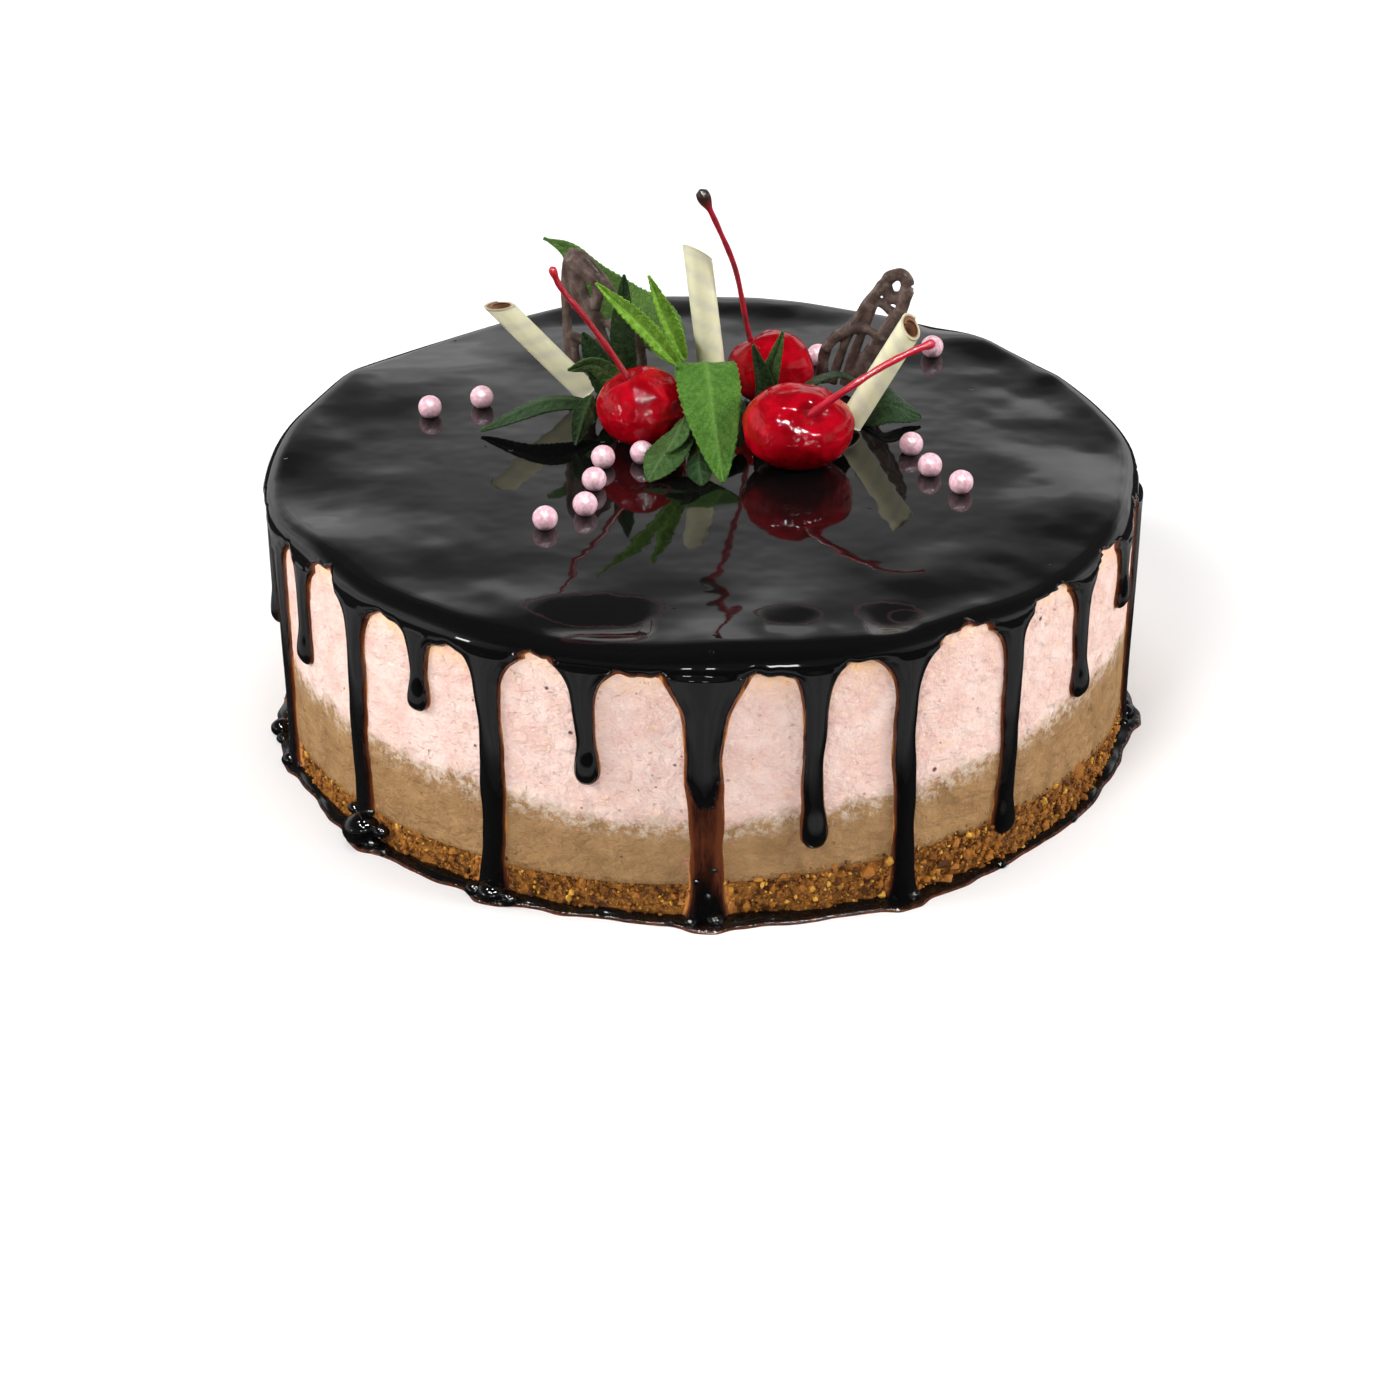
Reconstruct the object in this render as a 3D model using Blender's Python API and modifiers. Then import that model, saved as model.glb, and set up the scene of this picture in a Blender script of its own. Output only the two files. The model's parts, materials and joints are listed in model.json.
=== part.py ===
"""Berry mousse cake, 20 cm across: a baked crumb base, a layer of chocolate mousse and one of berry mousse, under
a dark mirror glaze that runs down the side in drips and pools round the foot. On top lie three cocktail cherries
on their stems, white chocolate curls, piped chocolate lattices, mint leaves and sugar pearls.

Lengths are written in millimetres and turned into metres as the meshes are made. The origin is the middle of the
cake's foot, +Z is up and -Y is the front. An angle runs round the cake from the front, positive to the right.
"""

import math

import bmesh
import bpy
from mathutils import Vector, noise

MM = 0.001
GAP = 0.3                      # clearance between pieces that touch

# The cake
CAKE_RADIUS = 100.0
MOUSSE_TOP = 62.0
CRUMB_DEPTH = 0.9              # how far the crumb's crags reach into its side
LAYER_STEPS = 72
CRUMB_STEPS = 108
LEVEL_RADIUS = 84.0            # inside this radius a layer's top is level
LEVEL_GAP = 0.4                # added there to the clearance, where two wavy faces meet

# The glaze
GLAZE_TOP = 65.0
GLAZE_RADIUS = 101.6
RIM_ROLL = 5.0                 # radius of the rounded rim
CALM_RADIUS = 62.0             # inside this radius the glaze is a level mirror
DRIP_CENTRE = 100.6            # radius of a drip's middle line
DRIP_DEPTH = 2.0               # how far a drip stands out from its middle line
DRIP_START = 60.5              # where a drip leaves the rim
DRIP_LEAN = 2.2                # how far its start lies back under the rim
POOL_HEIGHT = 1.6
POOL_WIDTH = 2.6

# The decoration
PEARL_RADIUS = 2.8
CURL_WALL = 0.8
STRAND_FLATNESS = 0.62         # a strand's thickness over its width
STRAND_STEP = 0.21             # how far each strand lies over the one before
LEAF_THICKNESS = 0.5
CHERRY_SEAT = 0.9              # height of the flat spot that a cherry rests on

# Drips: angle, lowest point, width of the neck, width of the drop at the end. One that ends at 0 runs into the pool.
DRIPS = [
    (-86.0, 24.0, 4.4, 6.2), (-71.0, 0.0, 5.6, 7.0), (-61.6, 34.5, 4.6, 6.4), (-48.6, 0.0, 5.6, 6.4),
    (-37.1, 40.5, 3.8, 5.8), (-26.8, 0.0, 6.0, 6.6), (-14.3, 32.5, 4.7, 5.8), (0.2, 0.0, 7.4, 7.0),
    (13.4, 17.0, 5.0, 6.2), (25.2, 0.0, 5.4, 6.4), (41.0, 7.6, 5.0, 6.8), (55.4, 31.3, 4.7, 6.4),
    (69.0, 43.0, 4.2, 5.8), (84.0, 0.0, 5.0, 6.2), (97.0, 28.0, 4.8, 6.2), (109.0, 0.0, 5.6, 6.6),
    (121.0, 39.0, 4.4, 6.0), (134.0, 12.0, 5.0, 6.6), (149.0, 0.0, 5.8, 6.6), (161.0, 33.0, 4.6, 6.0),
    (174.0, 0.0, 5.4, 6.6), (-172.0, 22.0, 4.8, 6.4), (-158.0, 0.0, 5.8, 6.8), (-146.0, 37.0, 4.4, 6.0),
    (-132.0, 0.0, 5.4, 6.4), (-117.0, 15.0, 5.0, 6.4), (-102.0, 0.0, 5.2, 6.4),
]

# Cherries: middle, half sizes, the way the stem's dimple faces, the stem's points from the dimple to the knob, and the
# radii of the stem and of its knob.
CHERRIES = {
    "cherry_front": ((21.7, -5.6), (12.6, 11.6, 9.5), (0.34, -0.66, 0.67),
                     [(24.6, -11.5, 79.8), (32.0, -12.0, 85.6), (40.0, -10.0, 90.3), (47.0, -7.2, 93.0),
                      (52.5, -5.0, 94.4)], 0.8, 1.1),
    "cherry_left": ((-14.4, 7.2), (10.4, 10.2, 9.1), (-0.44, 0.05, 0.90),
                    [(-17.6, 8.0, 80.0), (-20.5, 8.3, 85.0), (-27.2, 8.8, 94.8), (-32.6, 9.3, 101.8),
                     (-34.9, 9.6, 107.0)], 0.7, 1.0),
    "cherry_back": ((16.0, 31.5), (10.2, 9.6, 8.8), (-0.50, 0.30, 0.80),
                    [(11.6, 31.0, 79.0), (10.2, 30.5, 85.0), (7.6, 30.0, 98.4), (3.4, 29.0, 109.5),
                     (-0.8, 28.0, 119.0)], 0.65, 1.7),
}

# Curls: the axis at the low and the high end, the way the slanted mouth faces, and the radius.
CURLS = {
    "white_curl_left": ((-27.5, 29.0, 67.9), (-48.5, 33.0, 88.4), (-0.10, 0.0, 1.0), 3.3),
    "white_curl_middle": ((3.3, 24.6, 66.6), (-1.2, 33.0, 101.6), (0.42, 0.50, 0.76), 3.5),
    "white_curl_right": ((34.6, 11.6, 67.4), (48.4, 14.5, 90.2), (0.62, -0.42, 0.66), 3.4),
}

# Lattices: where the middle of the foot stands, the way the panel faces from left to right, and its strands as half
# a width and points across and up from there. A strand whose last value is True closes on itself.
LATTICES = {
    "dark_lattice_left": ((-24.0, 36.6), (0.98, -0.20), [
        (1.4, [(-7.8, 34.6), (-9.0, 30.0), (-9.1, 20.0), (-8.6, 10.0), (-6.5, 1.5)], False),
        (1.6, [(-8.2, 34.8), (-5.6, 34.6), (-1.6, 30.8), (1.2, 27.0), (4.2, 22.6), (7.6, 16.0), (9.4, 9.0),
               (8.0, 1.5)], False),
        (1.7, [(-7.4, 33.6), (-6.2, 29.2), (-3.6, 22.6), (-0.6, 15.6), (1.6, 8.0), (2.4, 1.5)], False),
        (1.6, [(-7.6, 34.0), (-4.2, 30.6), (-1.0, 27.4), (-1.6, 21.6)], False),
        (1.5, [(-8.0, 30.0), (-6.4, 24.0), (-5.2, 20.6)], False),
        (1.4, [(-8.4, 14.2), (-4.7, 13.0), (0.2, 13.6)], False),
        (1.3, [(-2.0, 21.0), (0.2, 18.2), (6.0, 18.4)], False),
        (1.2, [(2.0, 18.6), (4.0, 12.0), (6.0, 1.5)], False),
        (1.2, [(-3.6, 13.0), (-2.6, 6.0), (-1.0, 1.5)], False),
        (1.1, [(-7.0, 13.0), (-6.8, 8.0), (-5.0, 1.5)], False),
    ]),
    "dark_lattice_right": ((34.0, 37.4), (1.0, -0.12), [
        (1.8, [(14.9, 27.4), (14.2, 29.6), (12.2, 30.2), (10.2, 29.0), (9.7, 26.6), (11.2, 24.4), (13.8, 24.8)],
         True),
        (1.6, [(9.4, 28.0), (6.2, 23.8), (3.6, 19.4), (1.2, 16.2), (-2.8, 13.2), (-4.5, 10.0), (-5.1, 6.0),
               (-5.2, 1.5)], False),
        (1.7, [(15.0, 26.6), (13.6, 21.8), (10.6, 15.4), (6.2, 7.0), (3.4, 1.5)], False),
        (1.3, [(-4.6, 10.4), (-1.1, 14.6), (3.7, 16.4), (7.0, 15.6), (10.2, 13.0)], False),
        (1.3, [(7.0, 23.6), (9.0, 22.6), (11.2, 20.8), (13.6, 20.6)], False),
        (1.3, [(8.6, 28.0), (6.0, 22.8), (1.6, 15.8), (-1.4, 7.0), (-2.6, 1.5)], False),
        (1.3, [(6.8, 22.6), (4.4, 15.5), (1.6, 7.0), (0.2, 1.5)], False),
        (1.3, [(12.0, 20.4), (7.6, 13.6), (4.4, 7.6), (2.2, 1.5)], False),
    ]),
}

# Leaves: points along the midrib from base to tip, width, the way across the blade, and how far its edges fold up.
LEAVES = {
    "mint_leaf_front": ([(-2.0, 12.4, 77.5), (0.3, 9.6, 83.2), (2.2, -4.4, 76.4), (4.4, -18.8, 65.9)], 15.4,
                        (1.0, 0.10, 0.0), 0.10),
    "mint_leaf_front_left": ([(-3.4, 0.4, 72.0), (-8.6, -11.2, 70.0), (-12.6, -18.2, 65.9)], 9.8,
                             (0.9, 0.1, 0.1), 0.12),
    "mint_leaf_front_small": ([(-4.2, 0.0, 74.0), (-6.2, -8.2, 72.6), (-8.4, -13.0, 70.6)], 6.0,
                              (0.9, -0.1, 0.35), 0.12),
    "mint_leaf_front_under": ([(-1.2, -9.0, 69.0), (-1.0, -15.2, 67.4), (-0.4, -20.4, 65.9)], 6.0,
                              (1.0, 0.0, 0.0), 0.15),
    "mint_leaf_left": ([(-25.0, 17.0, 70.0), (-37.5, 12.6, 72.2), (-52.4, 10.2, 65.9)], 11.0,
                       (0.1, -1.0, 0.05), 0.12),
    "mint_leaf_left_drop": ([(-26.0, 9.0, 75.4), (-28.0, 4.4, 71.6), (-29.8, 1.8, 65.9)], 5.6,
                            (1.0, 0.5, 0.0), 0.18),
    "mint_leaf_right": ([(36.0, 20.0, 66.6), (43.6, 17.6, 69.4), (51.6, 17.4, 66.2)], 14.0,
                        (0.0, -1.0, -0.25), -0.10),
    "mint_leaf_right_back": ([(20.6, 17.4, 66.3), (23.4, 16.2, 74.6), (31.0, 17.4, 77.6), (38.5, 22.4, 72.4)], 9.6,
                             (0.0, -1.0, 0.25), -0.18),
    "mint_bud_left": ([(12.4, 12.6, 66.2), (14.2, 12.0, 76.5), (11.5, 10.6, 87.4)], 4.4, (1.0, 0.1, 0.1), 0.30),
    "mint_bud_right": ([(14.6, 16.4, 66.2), (15.4, 15.6, 76.5), (18.5, 14.6, 89.2)], 4.6, (1.0, -0.1, 0.0), 0.30),
    "mint_leaf_back_tall": ([(-5.0, 18.6, 79.6), (-9.8, 37.0, 80.4), (-18.4, 45.0, 82.9), (-26.6, 48.0, 89.1),
                             (-32.4, 49.0, 96.2), (-38.6, 49.5, 99.3)], 13.0, (0.62, 0.10, 0.66), 0.10),
    "mint_leaf_bright_left": ([(-5.6, 13.6, 80.8), (-14.6, 11.6, 92.0), (-24.8, 10.2, 102.8)], 5.0,
                              (0.62, 0.45, 0.50), 0.60),
    "mint_leaf_bright_middle": ([(-4.4, 18.4, 80.4), (-8.4, 17.0, 90.6), (-12.8, 16.0, 102.4)], 4.6,
                                (0.9, 0.45, 0.25), 0.70),
    "mint_leaf_dark_upright": ([(-17.6, 25.0, 66.2), (-19.2, 24.6, 83.0), (-18.6, 24.0, 99.6)], 6.4,
                               (1.0, 0.1, 0.0), 0.20),
    "mint_leaf_dark_left": ([(-21.6, 21.8, 66.2), (-25.0, 21.6, 78.0), (-28.4, 21.4, 86.2)], 6.4,
                            (0.9, 0.1, 0.25), 0.16),
    "mint_leaf_dark_low": ([(-16.6, 18.8, 66.2), (-20.4, 18.2, 74.6), (-25.4, 17.8, 79.4), (-32.0, 18.4, 78.0)], 6.4,
                           (0.3, -0.3, 0.9), 0.10),
    "mint_leaf_front_right": ([(4.6, 9.6, 76.0), (7.6, 5.6, 72.6), (8.4, 0.6, 65.9)], 6.6, (0.85, 0.5, 0.0), 0.12),
}
LONG_LEAF = 20.0               # a leaf longer than this gets the finer grid
STEM_TOP = (-3.2, 15.7, 80.2)
STEM_FOOT = (-1.6, 17.2, 65.5)
STEM_RADIUS = 1.2

PEARL_PLACES = [
    (-65.2, 21.3), (-53.2, 27.3), (-35.0, -40.4), (-26.4, -33.1), (-24.8, -19.8), (-23.1, -7.7),
    (-14.2, -5.2), (48.2, -0.3), (51.8, -12.1), (58.2, -21.4), (57.0, 58.3), (28.4, 53.7),
]


# ---------------------------------------------------------------- the cake's rules

def smooth_step(low, high, value):
    """0 below low, 1 above high, smooth between."""
    share = min(1.0, max(0.0, (value - low) / (high - low)))
    return share * share * (3 - 2 * share)


def bump_round(angle, centre, width):
    """A bell round the cake, 1 at centre; angles in degrees."""
    away = (angle - centre + 180) % 360 - 180
    return math.exp(-(away / width) ** 2)


def angle_of(x, y):
    return math.degrees(math.atan2(x, -y))


def crumb_top(angle):
    """Height of the crumb base at the side."""
    a = math.radians(angle)
    wave = 0.5 * math.sin(3 * a + 1.0) + 0.35 * math.sin(7 * a)
    return 9.0 + 2.8 * bump_round(angle, 42, 26) + wave


def berry_bottom(angle):
    """Height of the boundary between the two mousses at the side."""
    a = math.radians(angle)
    wave = 0.5 * math.sin(5 * a + 0.4) + 0.3 * math.sin(9 * a)
    return 28.0 - 3.6 * bump_round(angle, 2, 24) + 4.2 * bump_round(angle, 60, 22) + wave


def glaze_outline(angle):
    """Radius of the glaze at its widest, a little uneven."""
    a = math.radians(angle)
    return GLAZE_RADIUS + 0.5 * math.sin(3 * a - 0.9) + 0.4 * math.sin(8 * a) + 0.25 * math.sin(15 * a + 2.0)


def glaze_height(x, y):
    """Height of the glaze's top: level in the middle, in low waves towards the rim."""
    radius = math.hypot(x, y)
    a = math.atan2(x, -y)
    wave = (0.55 * math.sin(6 * a + 0.5) + 0.4 * math.sin(11 * a + radius / 14) + 0.3 * math.sin(4 * a - radius / 9))
    return GLAZE_TOP + wave * smooth_step(CALM_RADIUS, GLAZE_RADIUS, radius)


def pool_reach(angle):
    """How far the pooled glaze reaches out from the cake's side."""
    a = math.radians(angle)
    lumps = sum(bump_round(angle, drip[0], 3.0) for drip in DRIPS if drip[1] == 0)
    return POOL_WIDTH * (0.85 + 0.25 * math.sin(5 * a) + 0.15 * math.sin(13 * a + 1)) + 1.8 * lumps


# ---------------------------------------------------------------- helpers

def clear_scene():
    for old in list(bpy.data.objects):
        bpy.data.objects.remove(old, do_unlink=True)


def collection(name):
    made = bpy.data.collections.new(name)
    bpy.context.scene.collection.children.link(made)
    return made


def material(name, colour, roughness, metallic=0.0):
    made = bpy.data.materials.new(name)
    made.use_nodes = True
    shader = made.node_tree.nodes["Principled BSDF"]
    shader.inputs["Base Color"].default_value = (*colour, 1.0)
    shader.inputs["Roughness"].default_value = roughness
    shader.inputs["Metallic"].default_value = metallic
    return made


def add_object(name, data, into, look=None):
    made = bpy.data.objects.new(name, data)
    into.objects.link(made)
    if look:
        data.materials.append(look)
    return made


def evaluated_mesh(source):
    """The object's mesh with its modifiers and its place applied; the object is removed."""
    graph = bpy.context.evaluated_depsgraph_get()
    mesh = bpy.data.meshes.new_from_object(source.evaluated_get(graph))
    mesh.transform(source.matrix_world)
    bpy.data.objects.remove(source, do_unlink=True)
    return mesh


def weld(mesh, distance=0.00001):
    shape = bmesh.new()
    shape.from_mesh(mesh)
    bmesh.ops.remove_doubles(shape, verts=shape.verts, dist=distance)
    shape.to_mesh(mesh)
    shape.free()
    return mesh


def smooth(made, sharp_degrees=40):
    made.data.shade_smooth()
    made.data.set_sharp_from_angle(angle=math.radians(sharp_degrees))
    return made


def turned_mesh(profile, steps, closed=False):
    """A profile of (radius, height) points turned round Z with a Screw modifier."""
    mesh = bpy.data.meshes.new("profile")
    count = len(profile)
    edges = [(i, i + 1) for i in range(count - 1)] + ([(count - 1, 0)] if closed else [])
    mesh.from_pydata([(radius * MM, 0, height * MM) for radius, height in profile], edges, [])
    turned = bpy.data.objects.new("turned", mesh)
    bpy.context.scene.collection.objects.link(turned)
    screw = turned.modifiers.new("Screw", "SCREW")
    screw.steps = screw.render_steps = steps
    screw.use_merge_vertices = True
    screw.merge_threshold = 0.00001
    return evaluated_mesh(turned)


def reshape(mesh, rule):
    """Moves every vertex by a rule from millimetres to millimetres."""
    for vertex in mesh.vertices:
        vertex.co = Vector(rule(vertex.co / MM)) * MM
    return mesh


def tube_mesh(points, radii, closed=False):
    """A round tube through the points, with filled ends."""
    curve = bpy.data.curves.new("tube", "CURVE")
    curve.dimensions = "3D"
    curve.bevel_depth = MM
    curve.bevel_resolution = 1
    curve.use_fill_caps = not closed
    spline = curve.splines.new("POLY")
    spline.points.add(len(points) - 1)
    spline.use_cyclic_u = closed
    for point, place, radius in zip(spline.points, points, radii):
        point.co = (*(Vector(place) * MM), 1)
        point.radius = radius
    holder = bpy.data.objects.new("tube", curve)
    bpy.context.scene.collection.objects.link(holder)
    return weld(evaluated_mesh(holder))


def joined(name, meshes, into, look):
    """One solid out of several that overlap, by a Boolean union on a collection."""
    base = add_object(name, meshes[0], into, look)
    group = collection(name + "_pieces")
    for index, mesh in enumerate(meshes[1:]):
        add_object(f"{name}_piece_{index:02d}", mesh, group)
    union = base.modifiers.new("Union", "BOOLEAN")
    union.operation = "UNION"
    union.operand_type = "COLLECTION"
    union.collection = group
    union.solver = "EXACT"
    mesh = evaluated_mesh(base)
    for piece in list(group.objects):
        bpy.data.objects.remove(piece, do_unlink=True)
    bpy.data.collections.remove(group)
    mesh.materials.clear()
    return add_object(name, mesh, into, look)


def cut_by(made, cutter):
    cut = made.modifiers.new("Cut", "BOOLEAN")
    cut.operation = "DIFFERENCE"
    cut.solver = "EXACT"
    cut.object = cutter
    return made


# ---------------------------------------------------------------- the layers

def mean_height(rule):
    angles = range(-180, 180, 5)
    return sum(rule(angle) for angle in angles) / len(angles)


def layer_mesh(bottom, top, steps, side_rows=1, flat_bottom=False, flat_top=False):
    """A disc from one height rule to the next. Inside LEVEL_RADIUS both faces are level."""
    rows = [(CAKE_RADIUS, 1 - row / side_rows) for row in range(side_rows + 1)]
    upper = [(0, 1)] if flat_top else [(0, 1), (LEVEL_RADIUS, 1)]
    lower = [(0, 0)] if flat_bottom else [(LEVEL_RADIUS, 0), (0, 0)]
    profile = upper + rows + lower
    mesh = turned_mesh([(radius, share * 10) for radius, share in profile], steps)
    middle_low = mean_height(bottom) + (0 if flat_bottom else LEVEL_GAP)
    middle_high = mean_height(top) - (0 if flat_top else LEVEL_GAP)

    def place(point):
        angle = angle_of(point.x, point.y)
        outer = math.hypot(point.x, point.y) > LEVEL_RADIUS + 1
        low = bottom(angle) if outer else middle_low
        high = top(angle) if outer else middle_high
        return point.x, point.y, low + (high - low) * point.z / 10

    return reshape(mesh, place)


def craggy(mesh):
    """Pushes the crumb's side in and out in crags, below its upper edge."""

    def crag(point):
        radius = math.hypot(point.x, point.y)
        if radius < LEVEL_RADIUS + 1:
            return point
        rough = noise.noise(point / 2.6) + 0.6 * noise.noise(point / 1.3)
        depth = CRUMB_DEPTH * (0.5 + 0.5 * max(-1.0, min(1.0, 1.6 * rough)))
        scale = (CAKE_RADIUS - 0.15 - depth) / radius
        return point.x * scale, point.y * scale, point.z

    return reshape(mesh, crag)


def build_layers(into):
    half = GAP / 2
    crumb = layer_mesh(lambda angle: 0.0, lambda angle: crumb_top(angle) - half, CRUMB_STEPS,
                       side_rows=3, flat_bottom=True)
    chocolate = layer_mesh(lambda angle: crumb_top(angle) + half, lambda angle: berry_bottom(angle) - half,
                           LAYER_STEPS)
    berry = layer_mesh(lambda angle: berry_bottom(angle) + half, lambda angle: MOUSSE_TOP, LAYER_STEPS, flat_top=True)
    smooth(add_object("crumb_base", craggy(crumb), into, material("crumb", (0.30, 0.13, 0.03), 0.75)))
    smooth(add_object("chocolate_mousse", chocolate, into, material("chocolate mousse", (0.38, 0.22, 0.12), 0.5)))
    smooth(add_object("berry_mousse", berry, into, material("berry mousse", (0.80, 0.58, 0.57), 0.45)))


# ---------------------------------------------------------------- the glaze

def glaze_cap():
    """The glaze's top with its rolled rim, filled down to where the mousse is cut out of it."""
    roll_low = GLAZE_TOP - RIM_ROLL
    profile = [(0, GLAZE_TOP), (CALM_RADIUS, GLAZE_TOP), (82, GLAZE_TOP)]
    for turn in (90, 60, 30, 0):
        a = math.radians(turn)
        profile.append((GLAZE_RADIUS - RIM_ROLL + RIM_ROLL * math.cos(a), roll_low + RIM_ROLL * math.sin(a)))
    profile += [(GLAZE_RADIUS - 0.5, roll_low - 1.0), (98, roll_low - 1.0), (98, GLAZE_TOP - 4), (0, GLAZE_TOP - 4)]

    def place(point):
        radius = math.hypot(point.x, point.y)
        if radius < 1:
            return point
        angle = angle_of(point.x, point.y)
        share = smooth_step(CALM_RADIUS, GLAZE_RADIUS - RIM_ROLL, radius)
        wide = 1 + (glaze_outline(angle) / GLAZE_RADIUS - 1) * share
        above = smooth_step(GLAZE_TOP - 5.5, GLAZE_TOP, point.z)
        lift = (glaze_height(point.x, point.y) - GLAZE_TOP) * above
        return point.x * wide, point.y * wide, point.z + lift

    return reshape(turned_mesh(profile, LAYER_STEPS), place)


def glaze_pool():
    """The ring of glaze that has run down and set round the foot."""
    inner = CAKE_RADIUS - 2
    share_height = [(inner, 0, 1.0), (CAKE_RADIUS, 0.2, 1.0), (CAKE_RADIUS, 0.75, 0.7), (CAKE_RADIUS, 1.0, 0.0),
                    (inner, 0, 0.0)]
    mesh = turned_mesh([(base + share * 10, height * POOL_HEIGHT) for base, share, height in share_height],
                       LAYER_STEPS, closed=True)

    def place(point):
        radius = math.hypot(point.x, point.y)
        if radius < CAKE_RADIUS:
            return point
        reach = (radius - CAKE_RADIUS) / 10 * pool_reach(angle_of(point.x, point.y))
        scale = (CAKE_RADIUS + reach) / radius
        return point.x * scale, point.y * scale, point.z

    return reshape(mesh, place)


def drip_widths(low, neck, drop):
    """Heights and half widths down a drip: a funnel out of the rim, a neck, and a drop or a foot."""
    funnel = [(DRIP_START, neck * 1.05), (57.0, neck * 0.68), (52.0, neck * 0.5)]
    if low == 0:
        return funnel + [(30.0, neck * 0.48), (8.0, drop * 0.46), (0.4, drop * 0.8)]
    round_end = [(low + 6.4, neck * 0.48), (low + 3.4, drop * 0.5), (low + 1.2, drop * 0.42), (low, drop * 0.16)]
    return [row for row in funnel if row[0] > low + 8] + round_end


def drip_mesh(angle, low, neck, drop):
    rows = drip_widths(low, neck, drop)
    mesh = tube_mesh([(0, 0, height) for height, _ in rows], [half for _, half in rows])
    widest = max(half for _, half in rows)

    def place(point):
        depth = -point.y / widest * DRIP_DEPTH
        a = math.radians(angle) + point.x / CAKE_RADIUS
        radius = DRIP_CENTRE + depth - DRIP_LEAN * smooth_step(DRIP_START - 6, DRIP_START, point.z)
        return radius * math.sin(a), -radius * math.cos(a), point.z

    return reshape(mesh, place)


def build_glaze(into, cutters):
    look = material("chocolate glaze", (0.006, 0.003, 0.003), 0.06)
    pieces = [glaze_cap(), glaze_pool()] + [drip_mesh(*drip) for drip in DRIPS]
    glaze = joined("chocolate_glaze", pieces, into, look)
    low = -2.0
    body = turned_mesh([(0, MOUSSE_TOP + GAP), (CAKE_RADIUS + GAP, MOUSSE_TOP + GAP), (CAKE_RADIUS + GAP, low),
                        (0, low)], LAYER_STEPS)
    cutter = add_object("cake_body_cutter", body, cutters)
    cutter.hide_render = True
    cutter.display_type = "WIRE"
    smooth(cut_by(glaze, cutter))


# ---------------------------------------------------------------- the decoration

def cherry_centre(name):
    (x, y), half = CHERRIES[name][0], CHERRIES[name][1]
    return Vector((x, y, glaze_height(x, y) + GAP + half[2] - CHERRY_SEAT))


def cherry_mesh(name):
    """An ellipsoid with a dimple at the stem, shallow wrinkles and a flat spot where it rests."""
    half, facing = CHERRIES[name][1], CHERRIES[name][2]
    centre = cherry_centre(name)
    axis = Vector(facing).normalized()
    turn = axis.to_track_quat("Z", "Y").to_matrix()
    profile = []
    rows = 10
    for row in range(rows + 1):
        a = math.pi * row / rows
        profile.append((math.sin(a), math.cos(a)))
    mesh = turned_mesh(profile, 18)
    floor = centre.z - half[2] + CHERRY_SEAT

    def place(point):
        way = turn @ Vector(point)
        dimple = 0.24 * math.exp(-((1 - way.normalized().dot(axis)) / 0.06))
        wrinkle = 0.05 * noise.noise(way * 3.1 + Vector(facing) * 7)
        way = way * (1 - dimple + wrinkle)
        spot = centre + Vector((way.x * half[0], way.y * half[1], way.z * half[2]))
        spot.z = max(spot.z, floor)
        return spot

    return reshape(mesh, place)


def stem_mesh(points, radius, knob):
    """A cherry's stem: flared where it leaves the fruit, with a knob at the end."""
    start, end = Vector(points[0]), Vector(points[-1])
    along = (start - Vector(points[1])).normalized()
    before_end = (Vector(points[-2]) - end).normalized() * 1.5 * knob
    line = [start + along * 1.5, start] + [Vector(p) for p in points[1:-1]] + [end + before_end, end]
    radii = [radius * 2.4, radius * 1.7] + [radius] * (len(points) - 2) + [knob, knob * 0.8]
    return tube_mesh(line, radii)


def build_cherries(into):
    look = material("cherry", (0.42, 0.0, 0.012), 0.08)
    for name, (_, _, _, stem, radius, knob) in CHERRIES.items():
        smooth(joined(name, [cherry_mesh(name), stem_mesh(stem, radius, knob)], into, look), 60)


def build_curls(into):
    look = material("white chocolate", (0.77, 0.72, 0.50), 0.35)
    for name, (low, high, mouth, radius) in CURLS.items():
        low, high, mouth = Vector(low), Vector(high), Vector(mouth).normalized()
        axis = (high - low).normalized()
        length = (high - low).length
        inner = radius - CURL_WALL
        mesh = turned_mesh([(inner, length), (radius, length), (radius, 0), (inner, 0)], 18, closed=True)
        turn = axis.to_track_quat("Z", "Y").to_matrix()

        def place(point):
            spot = low + turn @ Vector(point)
            if point.z > length / 2:
                spot += axis * (high - spot).dot(mouth) / axis.dot(mouth)
            return spot

        smooth(add_object(name, reshape(mesh, place), into, look))


def build_lattices(into):
    look = material("dark chocolate", (0.10, 0.06, 0.05), 0.45)
    for name, (foot, across, strands) in LATTICES.items():
        side = Vector((*across, 0)).normalized()
        face = side.cross(Vector((0, 0, 1)))
        origin = Vector((*foot, glaze_height(*foot) + GAP))
        meshes = []
        for index, (half, points, closed) in enumerate(strands):
            laid = origin + face * STRAND_STEP * (index % 5)
            line = [(u, 0, max(v, half)) for u, v in points]

            def place(point):
                return laid + side * point.x - face * point.y * STRAND_FLATNESS + Vector((0, 0, point.z))

            meshes.append(reshape(tube_mesh(line, [half] * len(line), closed=closed), place))
        smooth(joined(name, meshes, into, look), 60)


def clear_of_others(spot, margin):
    """Keeps a leaf's point outside the cherries and above the glaze."""
    for name, cherry in CHERRIES.items():
        half = cherry[1]
        offset = spot - cherry_centre(name)
        reach = Vector(offset[i] / (half[i] * 1.06 + margin) for i in range(3)).length
        if 0 < reach < 1:
            spot = cherry_centre(name) + offset / reach
    spot.z = max(spot.z, glaze_height(spot.x, spot.y) + margin)
    return spot


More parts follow.
